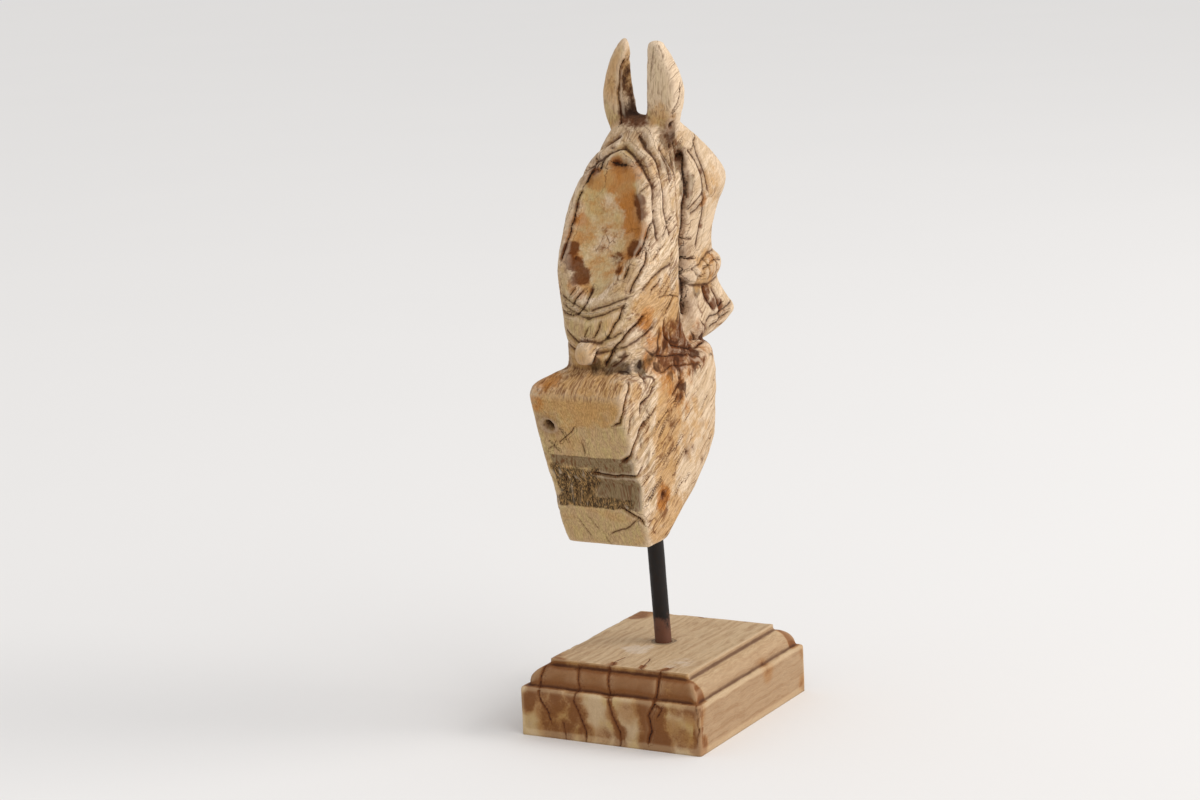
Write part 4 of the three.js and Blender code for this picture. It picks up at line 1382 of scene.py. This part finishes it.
def make_floor(settings):
    """A flat pale floor that reaches past everything the camera sees."""
    reach = 30 / MM
    corners = np.array([(-1, -1, 0), (1, -1, 0), (1, 1, 0), (-1, 1, 0)]) * reach
    floor = shown_object("floor", corners, [(0, 1, 2, 3)])
    material, tree, shader, place = new_material("pale_paper")
    tooth = noise(tree, place, 3.0)
    clouded = (0.7, 0.7, 0.69, 1)
    tone = mix_colour(tree, ramp(tree, tooth, 0.3, 0.7, 0.0, 0.03), (*settings.floor, 1), clouded)
    tree.links.new(tone, shader.inputs["Base Color"])
    shader.inputs["Roughness"].default_value = 1.0
    shader.inputs["Specular IOR Level"].default_value = 0.0
    floor.data.materials.append(material)


def area_light(name, place, target, size, power, tint):
    """A square soft light that looks at a point."""
    data = bpy.data.lights.new(name, "AREA")
    data.shape, data.size, data.energy, data.color = "SQUARE", size, power, tint
    light = bpy.data.objects.new(name, data)
    light.location = place
    light.rotation_euler = (Vector(target) - Vector(place)).to_track_quat("-Z", "Y").to_euler()
    bpy.context.scene.collection.objects.link(light)


def sun_light(name, towards, strength, spread, tint):
    """A very soft sun; towards points from the object to it."""
    data = bpy.data.lights.new(name, "SUN")
    data.energy, data.angle, data.color = strength, spread, tint
    light = bpy.data.objects.new(name, data)
    light.rotation_euler = Vector(towards).to_track_quat("Z", "Y").to_euler()
    bpy.context.scene.collection.objects.link(light)


def make_camera():
    """The photograph's eye point, direction and tilt."""
    data = bpy.data.cameras.new("camera")
    data.lens, data.sensor_width = LENS, 36
    camera = bpy.data.objects.new("camera", data)
    side = LOOK.cross(UPWARD).normalized()
    top = side.cross(LOOK).normalized()
    turn = Matrix((side, top, -LOOK.normalized())).transposed()
    camera.matrix_world = Matrix.Translation(EYE) @ turn.to_4x4()
    bpy.context.scene.collection.objects.link(camera)
    bpy.context.scene.camera = camera


# Operators


class HORSE_OT_stage(bpy.types.Operator):
    """Makes the camera, the pale floor and the soft lights"""

    bl_idname = "horse.stage"
    bl_label = "Stage"

    def execute(self, context):
        settings = context.scene.horse_stage
        make_camera()
        make_floor(settings)
        sun_light("key", (-0.72, 0.12, 0.68), settings.key_power, np.radians(50), (1.0, 0.98, 0.95))
        area_light("side", (-3.2, -1.2, 2.0), (0, 0, 0.2), 1.8, settings.side_power, (1.0, 0.98, 0.96))
        world = bpy.data.worlds.new("soft sky")
        world.use_nodes = True
        background = world.node_tree.nodes["Background"]
        background.inputs["Color"].default_value = (0.98, 0.985, 1.0, 1)
        background.inputs["Strength"].default_value = settings.sky
        context.scene.world = world
        context.scene.view_settings.view_transform = "Standard"
        context.scene.view_settings.look = "None"
        return {"FINISHED"}


class HORSE_OT_carving(bpy.types.Operator):
    """Carves, cracks and stains the horse head"""

    bl_idname = "horse.carving"
    bl_label = "Carved head"

    def execute(self, context):
        settings = context.scene.horse_carving
        piece = make_carving(settings)
        dress(piece, carving_material(settings, effect_groups()), "horse_head")
        return {"FINISHED"}


class HORSE_OT_rod(bpy.types.Operator):
    """Makes the iron rod"""

    bl_idname = "horse.rod"
    bl_label = "Iron rod"

    def execute(self, context):
        settings = context.scene.horse_rod
        dress(make_rod(settings), rod_material(settings, effect_groups()), "rod")
        return {"FINISHED"}


class HORSE_OT_base(bpy.types.Operator):
    """Makes the moulded wooden base"""

    bl_idname = "horse.base"
    bl_label = "Moulded base"

    def execute(self, context):
        settings = context.scene.horse_base
        dress(make_base(settings), base_material(settings, effect_groups()), "base")
        return {"FINISHED"}


class HORSE_PT_panel(bpy.types.Panel):
    """Lists the pieces and their settings"""

    bl_idname = "HORSE_PT_panel"
    bl_label = "Weathered horse head"
    bl_space_type = "VIEW_3D"
    bl_region_type = "UI"
    bl_category = "Horse Head"

    def draw(self, context):
        for operator, group in OPERATOR_SETTINGS.items():
            self.layout.operator(operator)
            settings = getattr(context.scene, group)
            column = self.layout.column()
            for name in settings.__annotations__:
                column.prop(settings, name)


OPERATOR_SETTINGS = {
    "horse.stage": "horse_stage",
    "horse.carving": "horse_carving",
    "horse.rod": "horse_rod",
    "horse.base": "horse_base",
}
SETTINGS = {
    "horse_stage": StageSettings,
    "horse_carving": CarvingSettings,
    "horse_rod": RodSettings,
    "horse_base": BaseSettings,
}
CLASSES = [*SETTINGS.values(), HORSE_OT_stage, HORSE_OT_carving, HORSE_OT_rod, HORSE_OT_base, HORSE_PT_panel]


def register():
    """Adds the classes and the settings."""
    for cls in CLASSES:
        bpy.utils.register_class(cls)
    for name, cls in SETTINGS.items():
        setattr(bpy.types.Scene, name, PointerProperty(type=cls))


def unregister():
    """Takes the settings and the classes away again."""
    for name in SETTINGS:
        delattr(bpy.types.Scene, name)
    for cls in reversed(CLASSES):
        bpy.utils.unregister_class(cls)


def main():
    """Makes every piece in order."""
    register()
    bpy.ops.horse.stage()
    bpy.ops.horse.carving()
    bpy.ops.horse.rod()
    bpy.ops.horse.base()


if __name__ == "__main__":
    main()
